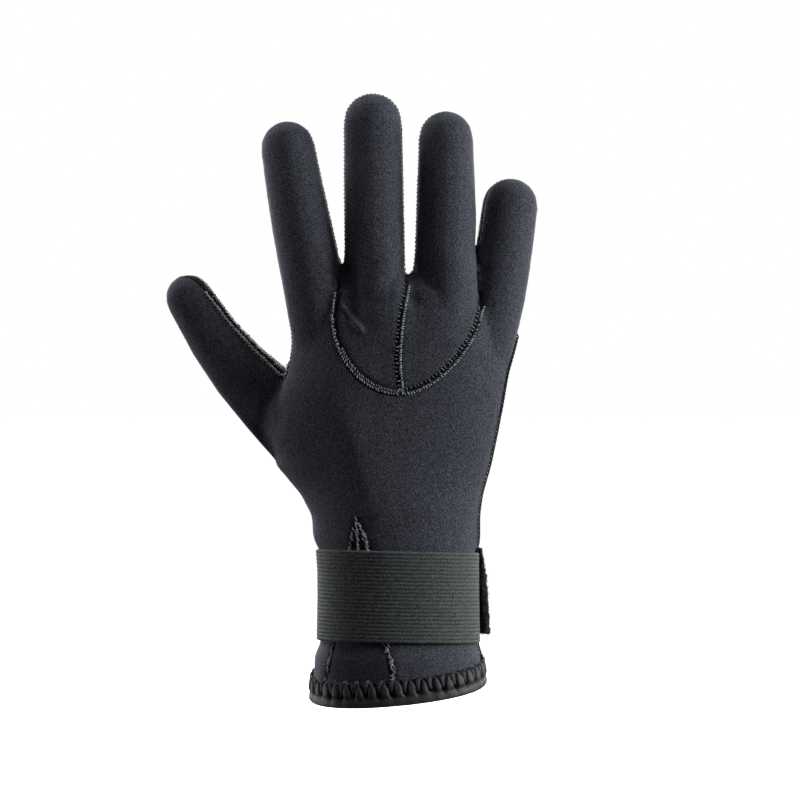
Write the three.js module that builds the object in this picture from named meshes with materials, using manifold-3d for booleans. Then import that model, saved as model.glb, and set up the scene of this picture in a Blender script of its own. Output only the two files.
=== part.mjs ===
// A right-hand fishing glove of 3 mm neoprene, standing as it does on a hand: fingers up (+Z), the back of
// the hand towards -Y, the thumb towards -X. Millimetres. The origin is the centre of the wrist opening.
import * as THREE from "three";
import { mergeVertices } from "three/addons/utils/BufferGeometryUtils.js";
import Module from "manifold-3d";

const wasm = await Module();
wasm.setup();

// Driving dimensions. In the tables thumb and little are the thumb's side and the little finger's side.
const NEOPRENE = 3; // wall of every panel
const SEAM_GAP = 0.4; // clear space between two panels that are sewn together
const SIDES = { hand: 32, finger: 16 }; // flats round the outer forms
const INNER_SIDES = { hand: 22, finger: 10 }; // and round the hollow
const FINGER_SPANS = 6; // rings along a finger, below its rounded tip
const TIP_ANGLES = [0, 26, 50, 72]; // degrees round a rounded end, before its pole
const INNER_TIP_ANGLES = [0, 45];
const KNUCKLE_CAP = 16; // height of the rounded end of the hand form, between the fingers

const STRAP = { width: 39.6, thickness: 1.6, middle: 41.4, slopeX: -0.025, slopeY: -0.05, clear: 0.3 };
// The tab runs between two angles round the wrist, and flares off it towards its lower free corner.
const TAB = {
  from: 6,
  to: 88,
  top: 62.2,
  bottom: 24.2,
  topThickness: 1.4,
  thickness: 2.6,
  clear: 0.3,
  flare: 1.8,
};
const HEM = { slopeX: 0.086, slopeY: 0.13, height: 11, thickness: 1.3, clear: 0.3 };
const BELOW_HEM = -16; // the forms run on to here, and are cut at the hem

// The hand without its fingers, a row for each level: centre, half width and half depth, how square the
// section is (2 is an ellipse), how far its thumb side and little finger side bend towards the palm, and
// how deep the middle of the palm is hollowed.
const HAND = [
  { z: BELOW_HEM, x: -0.3, y: 0, width: 38.8, depth: 29.0, power: 2.2, thumb: 0, little: 0, hollow: 0 },
  { z: 3, x: -0.6, y: 0, width: 37.4, depth: 27.4, power: 2.2, thumb: 0, little: 0, hollow: 0 },
  { z: 15.5, x: -1.0, y: 0, width: 36.3, depth: 26.0, power: 2.2, thumb: 0, little: 0, hollow: 0 },
  { z: 21, x: -0.7, y: 0, width: 34.2, depth: 24.0, power: 2.2, thumb: 0, little: 0, hollow: 0 },
  { z: 40, x: -0.7, y: 0, width: 33.8, depth: 23.4, power: 2.2, thumb: 0, little: 0, hollow: 0 },
  { z: 60, x: -0.8, y: -0.2, width: 33.8, depth: 23.2, power: 2.2, thumb: 0, little: 0, hollow: 0 },
  { z: 67, x: -1.7, y: -0.4, width: 36.3, depth: 24.0, power: 2.2, thumb: 0.5, little: 0.5, hollow: 0 },
  { z: 77, x: -2.2, y: -0.5, width: 36.6, depth: 22.8, power: 2.2, thumb: 0.5, little: 0.5, hollow: 1 },
  { z: 86, x: -4.0, y: -0.8, width: 39.6, depth: 21.4, power: 2.2, thumb: 1, little: 1, hollow: 2 },
  { z: 99, x: -7.6, y: -1.2, width: 47.0, depth: 20.0, power: 2.3, thumb: 2, little: 1.5, hollow: 3 },
  { z: 112, x: -7.4, y: -1.8, width: 49.6, depth: 18.8, power: 2.4, thumb: 3, little: 2.5, hollow: 4 },
  { z: 125, x: -4.6, y: -2.2, width: 49.4, depth: 17.8, power: 2.4, thumb: 3, little: 4, hollow: 4 },
  { z: 140, x: -1.6, y: -2.6, width: 48.0, depth: 17.0, power: 2.4, thumb: 3, little: 5.5, hollow: 3.5 },
  { z: 155, x: 0.3, y: -2.6, width: 47.9, depth: 15.6, power: 2.4, thumb: 3, little: 7.5, hollow: 2.5 },
  { z: 168, x: 2.0, y: -2.0, width: 47.8, depth: 13.6, power: 2.4, thumb: 3, little: 9, hollow: 1 },
];
const TOP_FALL = { rows: 3, thumb: 3, little: 17 }; // how much lower its upper end is at each side

// Each finger from inside the hand to the centre of its rounded tip: centre, half width and half depth.
const FINGERS = {
  index: {
    cap: 11.8,
    rows: [
      { x: -33.3, y: -0.4, z: 145, width: 13.0, depth: 11.6 },
      { x: -36.5, y: 0.4, z: 169, width: 13.3, depth: 12.4 },
      { x: -40.5, y: 2.2, z: 191, width: 13.5, depth: 12.6 },
      { x: -45.0, y: 4.6, z: 213, width: 12.9, depth: 12.0 },
      { x: -49.7, y: 9.4, z: 239.4, width: 11.9, depth: 10.8 },
    ],
  },
  middle: {
    cap: 12.6,
    rows: [
      { x: -13.0, y: -2.8, z: 145, width: 13.2, depth: 12.8 },
      { x: -11.6, y: -2.0, z: 169, width: 14.0, depth: 13.0 },
      { x: -11.1, y: 0.0, z: 191, width: 13.3, depth: 12.8 },
      { x: -11.5, y: 2.6, z: 213, width: 13.3, depth: 12.3 },
      { x: -12.1, y: 9.2, z: 251, width: 12.9, depth: 11.2 },
    ],
  },
  ring: {
    cap: 12,
    rows: [
      { x: 13.5, y: -2.2, z: 145, width: 14.5, depth: 12.4 },
      { x: 19.2, y: -1.0, z: 168, width: 16.2, depth: 12.8 },
      { x: 20.0, y: 1.0, z: 191, width: 13.6, depth: 12.6 },
      { x: 20.3, y: 3.6, z: 213, width: 13.2, depth: 12.1 },
      { x: 20.3, y: 8.8, z: 243.6, width: 12.0, depth: 10.9 },
    ],
  },
  little: {
    cap: 12,
    rows: [
      { x: 32.6, y: 2.4, z: 132, width: 12.0, depth: 9.6 },
      { x: 38.2, y: 4.6, z: 155, width: 12.8, depth: 11.4 },
      { x: 42.9, y: 7.4, z: 174, width: 12.6, depth: 11.7 },
      { x: 45.7, y: 9.8, z: 191, width: 12.6, depth: 11.5 },
      { x: 49.0, y: 13.6, z: 214.2, width: 12.3, depth: 10.9 },
    ],
  },
};

// The thumb, from inside the heel of the hand. It is rolled about its own length, so that its inner edge
// turns towards the back of the hand and the palm panel shows there.
const THUMB = {
  cap: 10.6,
  roll: 35,
  rows: [
    { x: -12.0, y: 2.0, z: 76, width: 15.0, depth: 12.0 },
    { x: -28.8, y: 5.0, z: 96.6, width: 18.4, depth: 15.0 },
    { x: -45.3, y: 8.0, z: 115.8, width: 18.1, depth: 15.2 },
    { x: -65.4, y: 11.0, z: 135.0, width: 15.2, depth: 13.6 },
    { x: -79.4, y: 12.8, z: 151.0, width: 12.7, depth: 11.8 },
    { x: -93.7, y: 14.2, z: 172.8, width: 10.7, depth: 9.8 },
  ],
};

// Where the back and palm panels meet on the hand, by level: how much further towards the palm than the
// middle of the section the seam lies, at the thumb's side and at the little finger's side.
const HAND_SEAM = [
  { z: -20, thumb: 5, little: -0.5 },
  { z: 75, thumb: 5, little: -0.5 },
  { z: 125, thumb: 5, little: -1 },
  { z: 150, thumb: 5, little: 1 },
  { z: 175, thumb: 5, little: 5 },
];
// The same on each edge of each finger, from the thumb's side on.
const FINGER_SEAM = [
  { finger: "index", thumb: 5, little: -0.5 },
  { finger: "middle", thumb: -0.5, little: -0.5 },
  { finger: "ring", thumb: -0.5, little: 3 },
  { finger: "little", thumb: -2, little: 5 },
];
const SEAM_GRID = { x: 8.5, z: 12 }; // spacing of the points that the seam surface is worked out at
const SEAM_BLEND = { from: 150, to: 178 }; // between these levels the hand's seam becomes the fingers'

// The U seam on the back of the hand has two arms, each a quarter of a rounded oblong, and one seam runs
// up between them to the web.
const U_SEAM = {
  thumb: { z: 165, halfWidth: 28.7, halfHeight: 34, power: 2 },
  little: { z: 172, halfWidth: 35.3, halfHeight: 41, power: 1.7 },
  x: 0.2,
  steps: 10,
};
const MIDDLE_SEAM = [
  { x: -1.0, z: 141 },
  { x: -0.8, z: 151 },
  { x: 0.0, z: 160 },
  { x: 1.4, z: 169 },
  { x: 3.0, z: 178 },
  { x: 4.2, z: 190 },
  { x: 4.4, z: 270 },
];
const INDEX_GAP = [
  { x: -27.4, z: 172 },
  { x: -25.2, z: 184 },
  { x: -28.4, z: 212 },
  { x: -32.5, z: 270 },
];
const LITTLE_GAP = [
  { x: 34.4, z: 178 },
  { x: 33.2, z: 191 },
  { x: 33.6, z: 208 },
  { x: 36.5, z: 225 },
  { x: 36.5, z: 270 },
];

// The wedge let into the back of the cuff.
const GUSSET = {
  point: { x: -19.2, z: 77 },
  left: [
    { x: -21.6, z: 62.5 },
    { x: -28.4, z: 23.7 },
    { x: -38.5, z: -22 },
  ],
  right: [
    { x: -13.3, z: 62.5 },
    { x: -6.5, z: 23.7 },
    { x: 5.0, z: -22 },
  ],
};

// Small helpers
const radians = THREE.MathUtils.degToRad;

// A table's column at some level, or at some value of another column, in proportion between rows.
function at(rows, value, column, key = "z") {
  const after = rows.findIndex((row) => row[key] >= value);
  if (after === 0) return rows[0][column];
  if (after < 0) return rows[rows.length - 1][column];
  const low = rows[after - 1];
  const high = rows[after];
  return THREE.MathUtils.mapLinear(value, low[key], high[key], low[column], high[column]);
}

// A closed geometry as a solid that can be joined and cut, turned so that its faces point out.
function solid(geometry) {
  const bare = geometry.index ? geometry.toNonIndexed() : geometry.clone();
  bare.deleteAttribute("normal");
  bare.deleteAttribute("uv");
  const merged = mergeVertices(bare, 1e-4);
  const build = (triVerts) =>
    new wasm.Manifold(
      new wasm.Mesh({ numProp: 3, vertProperties: merged.attributes.position.array, triVerts }),
    );
  const triangles = new Uint32Array(merged.index.array);
  const made = build(triangles);
  if (made.volume() > 0) return made;
  return build(triangles.reverse());
}

function join(solids) {
  return solids.reduce((all, next) => all.add(next));
}

// A skin through rings of equal length, closed at each end by a fan to a middle point.
function skin(rings, start, end) {
  const sides = rings[0].length;
  const points = [...rings.flat(), start, end];
  const index = [];
  for (let r = 0; r < rings.length - 1; r++)
    for (let s = 0; s < sides; s++) {
      const a = r * sides + s;
      const b = r * sides + ((s + 1) % sides);
      index.push(a, b, a + sides, b, b + sides, a + sides);
    }
  const last = (rings.length - 1) * sides;
  for (let s = 0; s < sides; s++) {
    const next = (s + 1) % sides;
    index.push(points.length - 2, next, s);
    index.push(points.length - 1, last + s, last + next);
  }
  return new THREE.BufferGeometry().setFromPoints(points).setIndex(index);
}

// A sine or cosine, swelled towards 1 by how square a section is.
function rounded(value, power) {
  return Math.sign(value) * Math.abs(value) ** (2 / power);
}

// One elliptical ring across two directions.
function ring(centre, across, deep, width, depth, sides) {
  return Array.from({ length: sides }, (_, i) => {
    const angle = (2 * Math.PI * i) / sides;
    return centre
      .clone()
      .addScaledVector(across, Math.cos(angle) * width)
      .addScaledVector(deep, Math.sin(angle) * depth);
  });
}

// The hand without its fingers, set in by some wall thickness.
function handForm(inset, sides = SIDES.hand) {
  const section = (row, size, rise, fall) =>
    Array.from({ length: sides }, (_, i) => {
      const angle = (2 * Math.PI * i) / sides;
      const side = rounded(Math.cos(angle), row.power);
      const deep = rounded(Math.sin(angle), row.power);
      const edge = side < 0 ? "thumb" : "little";
      const hollow = row.hollow * Math.max(0, deep) * (1 - side * side);
      return new THREE.Vector3(
        row.x + side * size.width,
        row.y + row[edge] * side * side + deep * size.depth - hollow,
        row.z + rise - fall * TOP_FALL[edge] * side * side,
      );
    });
  const top = HAND[HAND.length - 1];
  const cap = KNUCKLE_CAP - inset;
  const rings = HAND.map((row, i) => {
    const fall = Math.max(0, i + 1 + TOP_FALL.rows - HAND.length) / TOP_FALL.rows;
    return section(row, { width: row.width - inset, depth: row.depth - inset }, 0, fall);
  });
  for (const degrees of TIP_ANGLES.slice(1)) {
    const lean = Math.cos(radians(degrees));
    const size = { width: top.width - inset - cap * (1 - lean), depth: (top.depth - inset) * lean };
    rings.push(section(top, size, cap * Math.sin(radians(degrees)), 1));
  }
  const foot = new THREE.Vector3(HAND[0].x, HAND[0].y, HAND[0].z);
  return solid(skin(rings, foot, new THREE.Vector3(top.x, top.y, top.z + cap)));
}

// A finger or the thumb, set in by some wall thickness. roll turns its section about its own length.
function fingerForm({ cap, roll = 0, rows }, inset, sides) {
  const line = new THREE.CatmullRomCurve3(rows.map((row) => new THREE.Vector3(row.x, row.y, row.z)));
  const sizes = new THREE.CatmullRomCurve3(
    rows.map((row) => new THREE.Vector3(row.width - inset, row.depth - inset, 0)),
  );
  const frameAt = (t) => {
    const ahead = line.getTangent(t);
    const deep = new THREE.Vector3(0, 1, 0).addScaledVector(ahead, -ahead.y).normalize();
    deep.applyAxisAngle(ahead, radians(roll));
    return { ahead, deep, across: new THREE.Vector3().crossVectors(deep, ahead).normalize() };
  };
  const rings = [];
  for (let i = 0; i < FINGER_SPANS; i++) {
    const t = i / FINGER_SPANS;
    const { across, deep } = frameAt(t);
    const size = sizes.getPoint(t);
    rings.push(ring(line.getPoint(t), across, deep, size.x, size.y, sides));
  }
  const { ahead, across, deep } = frameAt(1);
  const tip = line.getPoint(1);
  const size = sizes.getPoint(1);
  for (const degrees of inset > 0 ? INNER_TIP_ANGLES : TIP_ANGLES) {
    const shrink = Math.cos(radians(degrees));
    const centre = tip.clone().addScaledVector(ahead, (cap - inset) * Math.sin(radians(degrees)));
    rings.push(ring(centre, across, deep, size.x * shrink, size.y * shrink, sides));
  }
  return solid(skin(rings, line.getPoint(0), tip.addScaledVector(ahead, cap - inset)));
}

// The whole glove as one closed form.
function gloveForm(inset, sides) {
  const fingers = [THUMB, ...Object.values(FINGERS)].map((one) => fingerForm(one, inset, sides.finger));
  return join([handForm(inset, sides.hand), ...fingers]);
}

// Depth of the seam between the back and palm panels, on the hand, on the fingers and on the thumb.
function handSeam(x, z) {
  const side = THREE.MathUtils.clamp((x - at(HAND, z, "x")) / at(HAND, z, "width"), -1.1, 1.1);
  const edge = side < 0 ? "thumb" : "little";
  return at(HAND, z, "y") + (at(HAND, z, edge) + at(HAND_SEAM, z, edge)) * side * side;
}

function fingerSeam(x, z) {
  const edges = FINGER_SEAM.flatMap(({ finger, thumb, little }) => {
    const { rows } = FINGERS[finger];
    const middle = at(rows, z, "x");
    const width = at(rows, z, "width");
    const y = at(rows, z, "y");
    return [
      { x: middle - width, y: y + thumb },
      { x: middle + width, y: y + little },
    ];
  });
  return at(edges, x, "y", "x");
}

function thumbSeam(x, z) {
  const [, from] = THUMB.rows;
  const to = THUMB.rows[THUMB.rows.length - 1];
  const run = new THREE.Vector2(to.x - from.x, to.z - from.z);
  const share = THREE.MathUtils.clamp(
    ((x - from.x) * run.x + (z - from.z) * run.y) / run.lengthSq(),
    -0.5,
    1.2,
  );
  const along = share * run.length();
  const beside = ((x - from.x) * run.y - (z - from.z) * run.x) / run.length();
  const reach = THREE.MathUtils.clamp(beside, -from.width, from.width);
  const middle = THREE.MathUtils.lerp(from.y, to.y, share);
  const away = Math.abs(beside) - from.width;
  return { along, away, depth: middle - Math.tan(radians(THUMB.roll)) * reach };
}

function seamDepth(x, z) {
  const onFingers = THREE.MathUtils.smoothstep(z, SEAM_BLEND.from, SEAM_BLEND.to);
  const hand = THREE.MathUtils.lerp(handSeam(x, z), fingerSeam(x, z), onFingers);
  const { along, away, depth } = thumbSeam(x, z);
  const near = 1 - THREE.MathUtils.smoothstep(away, 2, 16);
  return THREE.MathUtils.lerp(hand, depth, near * THREE.MathUtils.smoothstep(along, -8, 34));
}

// Everything on one side of that seam: back (-1) or palm (+1), half a gap away from it.
function seamSide(direction) {
  const low = { x: -112, z: -24 };
  const high = { x: 66, z: 276 };
  const across = Math.round((high.x - low.x) / SEAM_GRID.x);
  const up = Math.round((high.z - low.z) / SEAM_GRID.z);
  const far = 90;
  const seam = [];
  const outer = [];
  for (let j = 0; j <= up; j++)
    for (let i = 0; i <= across; i++) {
      const x = THREE.MathUtils.lerp(low.x, high.x, i / across);
      const z = THREE.MathUtils.lerp(low.z, high.z, j / up);
      seam.push(new THREE.Vector3(x, seamDepth(x, z) + (direction * SEAM_GAP) / 2, z));
      outer.push(new THREE.Vector3(x, direction * far, z));
    }
  const shift = seam.length;
  const row = across + 1;
  const index = [];
  for (let j = 0; j < up; j++)
    for (let i = 0; i < across; i++) {
      const a = j * row + i;
      const quad = [a, a + 1, a + row + 1, a, a + row + 1, a + row];
      index.push(...quad, ...quad.map((v) => v + shift).reverse());
    }
  const rim = [];
  for (let i = 0; i < across; i++) rim.push(i);
  for (let j = 0; j < up; j++) rim.push(j * row + across);
  for (let i = across; i > 0; i--) rim.push(up * row + i);
  for (let j = up; j > 0; j--) rim.push(j * row);
  rim.forEach((a, i) => {
    const b = rim[(i + 1) % rim.length];
    index.push(b, a, b + shift, a, a + shift, b + shift);
  });
  return solid(new THREE.BufferGeometry().setFromPoints([...seam, ...outer]).setIndex(index));
}

// A prism through the glove, on an outline in X and Z that is grown by some distance.
function prism(outline, grow) {
  const points = outline.map((p) => new THREE.Vector2(p.x, p.z));
  const turn = Math.sign(THREE.ShapeUtils.area(points));
  const grown = points.map((p, i) => {
    const before = points[(i + points.length - 1) % points.length];
    const after = points[(i + 1) % points.length];
    const run = after.clone().sub(before).normalize();
    return new THREE.Vector2(p.x + run.y * grow * turn, p.y - run.x * grow * turn);
  });
  const depth = 80;
  const geometry = new THREE.ExtrudeGeometry(new THREE.Shape(grown), { depth, bevelEnabled: false });
  return solid(geometry.rotateX(Math.PI / 2).translate(0, 0.5 * depth, 0));
}

// Points of one arm of the U seam, from its foot up, on the thumb's side (-1) or the little finger's (+1).
function uSeam(direction) {
  const arm = direction < 0 ? U_SEAM.thumb : U_SEAM.little;
  return Array.from({ length: U_SEAM.steps + 1 }, (_, i) => {
    const turn = (Math.PI / 2) * (i / U_SEAM.steps);
    return {
      x: U_SEAM.x + direction * arm.halfWidth * rounded(Math.sin(turn), arm.power),
      z: arm.z - arm.halfHeight * rounded(Math.cos(turn), arm.power),
    };
  });
}

const above = { x: MIDDLE_SEAM[MIDDLE_SEAM.length - 1].x, z: 270 };
const MIDDLE_OUTLINE = [...uSeam(-1), ...INDEX_GAP, above, ...[...MIDDLE_SEAM].reverse().slice(1)];
const RING_OUTLINE = [...uSeam(1), ...LITTLE_GAP, above, ...[...MIDDLE_SEAM].reverse().slice(1)];
const GUSSET_OUTLINE = [GUSSET.point, ...GUSSET.right, ...[...GUSSET.left].reverse()];

// Everything between two planes that tilt by slopeX and slopeY and cross the wrist's axis at two heights.
function slab(from, to, slopeX, slopeY) {
  const half = 120;
  const box = new THREE.BoxGeometry(2 * half, 2 * half, to - from);
  box.translate(0, 0, (from + to) / 2);
  const position = box.attributes.position;
  for (let i = 0; i < position.count; i++)
    position.setZ(i, position.getZ(i) + slopeX * position.getX(i) + slopeY * position.getY(i));
  return solid(box);
}

// Materials
const JERSEY = new THREE.MeshStandardMaterial({ color: 0x25262b, roughness: 0.85, metalness: 0 });
const GRIP = new THREE.MeshStandardMaterial({ color: 0x1a1f1d, roughness: 0.6, metalness: 0 });
const ELASTIC = new THREE.MeshStandardMaterial({ color: 0x26302c, roughness: 0.8, metalness: 0 });
const HOOK_TAPE = new THREE.MeshStandardMaterial({ color: 0x121412, roughness: 1, metalness: 0 });
const BINDING = new THREE.MeshStandardMaterial({ color: 0x1c1c1e, roughness: 0.7, metalness: 0 });

const glove = new THREE.Group();
glove.name = "fishing_glove";

function addPiece(name, shape, material) {
  const made = shape.getMesh();
  const geometry = new THREE.BufferGeometry();
  const positions = new Float32Array(made.numVert * 3);
  for (let i = 0; i < made.numVert; i++)
    positions.set(made.vertProperties.subarray(i * made.numProp, i * made.numProp + 3), i * 3);
  geometry.setAttribute("position", new THREE.BufferAttribute(positions, 3));
  geometry.setIndex(new THREE.BufferAttribute(made.triVerts, 1));
  geometry.computeVertexNormals();
  const mesh = new THREE.Mesh(geometry, material);
  mesh.name = name;
  glove.add(mesh);
}

// The neoprene shell, open at the hem, then its panels
const belowHem = slab(-60, HEM.thickness + HEM.clear, HEM.slopeX, HEM.slopeY);
const shell = gloveForm(0, SIDES).subtract(gloveForm(NEOPRENE, INNER_SIDES)).subtract(belowHem);
const back = shell.intersect(seamSide(-1));
const half = SEAM_GAP / 2;

addPiece("palm_panel", shell.intersect(seamSide(1)), GRIP);
addPiece("middle_insert", back.intersect(prism(MIDDLE_OUTLINE, -half)), JERSEY);
addPiece("ring_insert", back.intersect(prism(RING_OUTLINE, -half)), JERSEY);
addPiece("wrist_gusset", back.intersect(prism(GUSSET_OUTLINE, -half)), JERSEY);
const inserts = join([MIDDLE_OUTLINE, RING_OUTLINE, GUSSET_OUTLINE].map((line) => prism(line, half)));
addPiece("back_panel", back.subtract(inserts), JERSEY);

// The folded edge: an outer and an inner leaf and the fold below the hem
function roundCuff(off, from, to) {
  const hollow = handForm(NEOPRENE + off, INNER_SIDES.hand);
  return handForm(-off).subtract(hollow).intersect(slab(from, to, HEM.slopeX, HEM.slopeY));
}
const tape = roundCuff(HEM.clear + HEM.thickness, 0, HEM.height);
addPiece("cuff_binding", tape.subtract(roundCuff(HEM.clear, HEM.thickness, HEM.height + 1)), BINDING);

// The elastic strap, a band round the wrist
const band = slab(
  STRAP.middle - STRAP.width / 2,
  STRAP.middle + STRAP.width / 2,
  STRAP.slopeX,
  STRAP.slopeY,
);
const strapOut = STRAP.clear + STRAP.thickness;
addPiece("wrist_strap", handForm(-strapOut).subtract(handForm(-STRAP.clear)).intersect(band), ELASTIC);

// The fuzzy end of the strap, which laps over the strap and stands off it at its free end. Each ring is a
// cut through it from top to bottom, out along its inner face and back along its outer one.
function tabForm() {
  const steps = 12;
  const levels = 3;
  const heights = Array.from({ length: levels + 1 }, (_, l) =>
    THREE.MathUtils.lerp(TAB.top, TAB.bottom, l / levels),
  );
  const pointAt = (turn, z, out) => {
    const power = at(HAND, z, "power");
    return new THREE.Vector3(
      at(HAND, z, "x") + rounded(Math.cos(turn), power) * (at(HAND, z, "width") + out),
      at(HAND, z, "y") + rounded(Math.sin(turn), power) * (at(HAND, z, "depth") + out),
      z,
    );
  };
  const rings = [];
  for (let i = 0; i <= steps; i++) {
    const turn = radians(THREE.MathUtils.lerp(TAB.from, TAB.to, i / steps));
    const free = (1 - Math.min(i / 4, 1)) ** 2;
    const near = heights.map((_, l) => strapOut + TAB.clear + (free * TAB.flare * l) / levels);
    const inner = heights.map((z, l) => pointAt(turn, z, near[l]));
    const outer = heights.map((z, l) =>
      pointAt(turn, z, near[l] + (l === 0 ? TAB.topThickness : TAB.thickness)),
    );
    rings.push([...inner, ...outer.reverse()]);
  }
  const middle = (points) =>
    points.reduce((sum, p) => sum.add(p), new THREE.Vector3()).divideScalar(points.length);
  return solid(skin(rings, middle(rings[0]), middle(rings[steps])));
}
addPiece("strap_tab", tabForm(), HOOK_TAPE);

export default glove;
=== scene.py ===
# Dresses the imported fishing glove: soft panels, sewn seams, ribbed strap, fuzzy tab and gathered cuff.

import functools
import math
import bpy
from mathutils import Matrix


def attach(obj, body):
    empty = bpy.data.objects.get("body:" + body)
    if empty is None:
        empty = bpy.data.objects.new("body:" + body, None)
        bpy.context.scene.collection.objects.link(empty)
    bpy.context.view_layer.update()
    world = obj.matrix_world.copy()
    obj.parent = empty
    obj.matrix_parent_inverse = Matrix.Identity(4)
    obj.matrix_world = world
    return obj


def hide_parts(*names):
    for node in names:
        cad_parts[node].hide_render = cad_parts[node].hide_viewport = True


bl_info = {
    "name": "Neoprene Fishing Glove",
    "version": (1, 0, 0),
    "blender": (4, 5, 0),
    "location": "3D View > Sidebar > Glove",
    "description": "Dresses the glove's packed solids with soft panels, stitches, ribs and a gathered cuff",
    "category": "Object",
}

import bmesh
import bpy
import numpy as np
from mathutils import Vector
from mathutils.bvhtree import BVHTree
from mathutils.kdtree import KDTree

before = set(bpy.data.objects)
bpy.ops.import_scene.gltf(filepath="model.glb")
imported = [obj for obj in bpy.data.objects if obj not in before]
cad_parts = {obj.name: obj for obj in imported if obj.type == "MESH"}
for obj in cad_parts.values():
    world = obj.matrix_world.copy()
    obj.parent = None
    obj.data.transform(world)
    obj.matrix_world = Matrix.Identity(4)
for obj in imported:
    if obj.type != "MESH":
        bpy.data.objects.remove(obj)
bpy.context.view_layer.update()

MM = 0.001
PANELS = ("back_panel", "middle_insert", "ring_insert", "palm_panel", "wrist_gusset")
# The soft panels: piece, node, spacing of the points in mm, finish and slot; the gusset's finish is the
# jersey darkened as painted shade.
SOFT_PANELS = (
    ("jersey_back", "back_panel", 0.85, "jersey", "jersey"),
    ("jersey_middle_insert", "middle_insert", 0.7, "jersey", "jersey"),
    ("jersey_ring_insert", "ring_insert", 0.7, "jersey", "jersey"),
    ("jersey_gusset", "wrist_gusset", 0.6, "inset", "jersey"),
    ("grip_palm", "palm_panel", 0.95, "grip", "grip"),
)

# The cuff's and the strap's lower edges lie in sloping planes: rise along X and Y, height at X and Y 0,
# and the band's width.
HEM = {"slope": (0.086, 0.13), "low": 0.0, "width": 11.0 * MM}
STRAP = {"slope": (-0.025, -0.05), "low": 21.6 * MM, "width": 39.6 * MM}
WRIST_AXIS = (-0.8 * MM, 0.0)

# Soft ridges (positive) and hollows (negative) on the back of the hand: ends, half width and height in mm.
BACK_FOLDS = [
    ((-24.6, 168.0), (-16.8, 157.6), 1.15, 1.5),
    ((-24.0, 183.0), (-21.4, 166.0), 4.0, -2.2),
    ((-5.5, 186.0), (-7.5, 166.0), 9.0, 1.9),
    ((22.0, 186.0), (21.0, 162.0), 10.0, 1.7),
    ((4.2, 185.0), (5.2, 171.0), 3.4, -1.6),
    ((36.0, 184.0), (34.5, 170.0), 2.6, -0.8),
    ((-30.0, 68.0), (34.0, 70.0), 7.5, -1.2),
]
# The ridge down the back of the hand and the wrist: height and X in mm, strength, and slope on its left.
RIDGE_LINE = [
    (172.0, -26.0, 0.0, 0.19),
    (150.0, -28.0, 0.35, 0.20),
    (127.0, -26.5, 0.8, 0.30),
    (114.0, -21.5, 1.0, 0.36),
    (101.0, -16.5, 1.0, 0.36),
    (88.0, -14.0, 1.0, 0.25),
    (72.0, -11.0, 0.9, 0.0),
    (56.0, -9.0, 0.9, -0.10),
    (-8.0, -9.0, 0.9, -0.10),
]
# The slope on the ridge's right, how far both slopes reach, how round and how high the top is, and how far
# toward the back of the hand the ridge fades in, in mm.
RIDGE = {
    "right": 0.095,
    "right_reach": 34.0,
    "left_reach": 28.0,
    "round": 4.0,
    "rise": 1.6,
    "fade": (-7.0, 6.0),
}
# Where the hand lies over the root of the thumb: height and X in mm, and the fold's strength.
THUMB_FOLD = [
    (150.0, -46.5, 0.0),
    (140.0, -50.5, 0.45),
    (132.0, -53.8, 0.9),
    (123.0, -57.4, 1.0),
    (115.0, -58.9, 1.0),
    (108.0, -57.6, 0.7),
    (101.0, -52.5, 0.3),
    (95.0, -47.0, 0.0),
]
# That fold's lip, in mm: where it rises, how far it falls off and its height; and the gully beside it: its
# share of that height, its place and its half width.
LIP = {"rise": (-1.5, 5.4), "fall": 26.0, "height": 2.2, "gully": (0.3, -2.6, 2.4)}

# The even skin: spacing of its points, growth that closes the seams, smoothing steps, the outward step that
# keeps it from shrinking, and where its hold on a panel's points fades out.
SKIN = {
    "spacing": 1.2 * MM,
    "grow": 0.3 * MM,
    "steps": 130,
    "swell": -0.505,
    "fade": (1.0 * MM, 2.4 * MM),
}
UNDER_STRAP = (36.0 * MM, 40.0 * MM)  # heights where the skin's outer side is told by its direction
PANEL_GROW = 0.12 * MM  # each panel grows so much toward its neighbours
FOLD_FACING = (0.05, 0.5)  # how much a surface has to face -Y before the folds show on it
SOFT_SWELL = -0.52  # outward step that keeps a panel from shrinking
# Smoothing steps of a panel's points, normals, hold of the skin and lift, and the least hold that counts.
SOFT_STEPS = {"points": 5, "normal": 4, "outer": 2, "lift": 1}
LEAST_HOLD = 0.02
SEAM_STEP = 0.4 * MM  # spacing of a seam's points
SEAM_SEARCH = 6.0 * MM  # how far a panel is looked for
SHORTEST_SEAM = 12  # shorter chains of points are no seam
LAY_FROM, LAY_REACH = 1.8 * MM, 3.4 * MM  # how far over the cloth a thread is laid from, and how deep
DIVE = 0.55 * MM  # how far a stitch's ends go into the cloth
STRAP_COLUMNS = 384  # points once round the strap
RIB_ROWS = 6  # points across each of its ribs
STRAP_EDGE = {"reach": 0.8 * MM, "deep": 0.5 * MM}  # how far its edges are rounded off
# Roughness of the strap's tab, and its pile: fibres, how far they stray and bend, length in mm and radius.
TAB_ROUGHNESS = 0.5 * MM
PILE = {"fibres": 5600, "stray": 0.35, "bend": 0.25, "length": (0.35, 0.95), "radius": 0.07 * MM}
WIDEST_STITCH = 3.0  # a stitch that comes out so many times too long is left out
WALL_SAMPLES, WALL_WAVES = 96, 9  # rays round a band's wall, and the waves that its smooth form keeps
# How deep the seams pull the cloth in, by kind, how wide, and how far away it is still felt.
PINCH = {"edge": 0.15 * MM, "side": 0.45 * MM, "knuckle": 0.8 * MM, "half": 1.25 * MM, "reach": 9.0 * MM}
# The low swell beside a pinch: its share of the pinch's depth, its distance and half width.
SWELL = {"share": 0.14, "at": 3.6 * MM, "half": 2.2 * MM}

# Where the palm's seam shows under the little finger: right of an X and under a height.
RIGHT_EDGE = {"x": 25.0 * MM, "top": 155.0 * MM}
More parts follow.
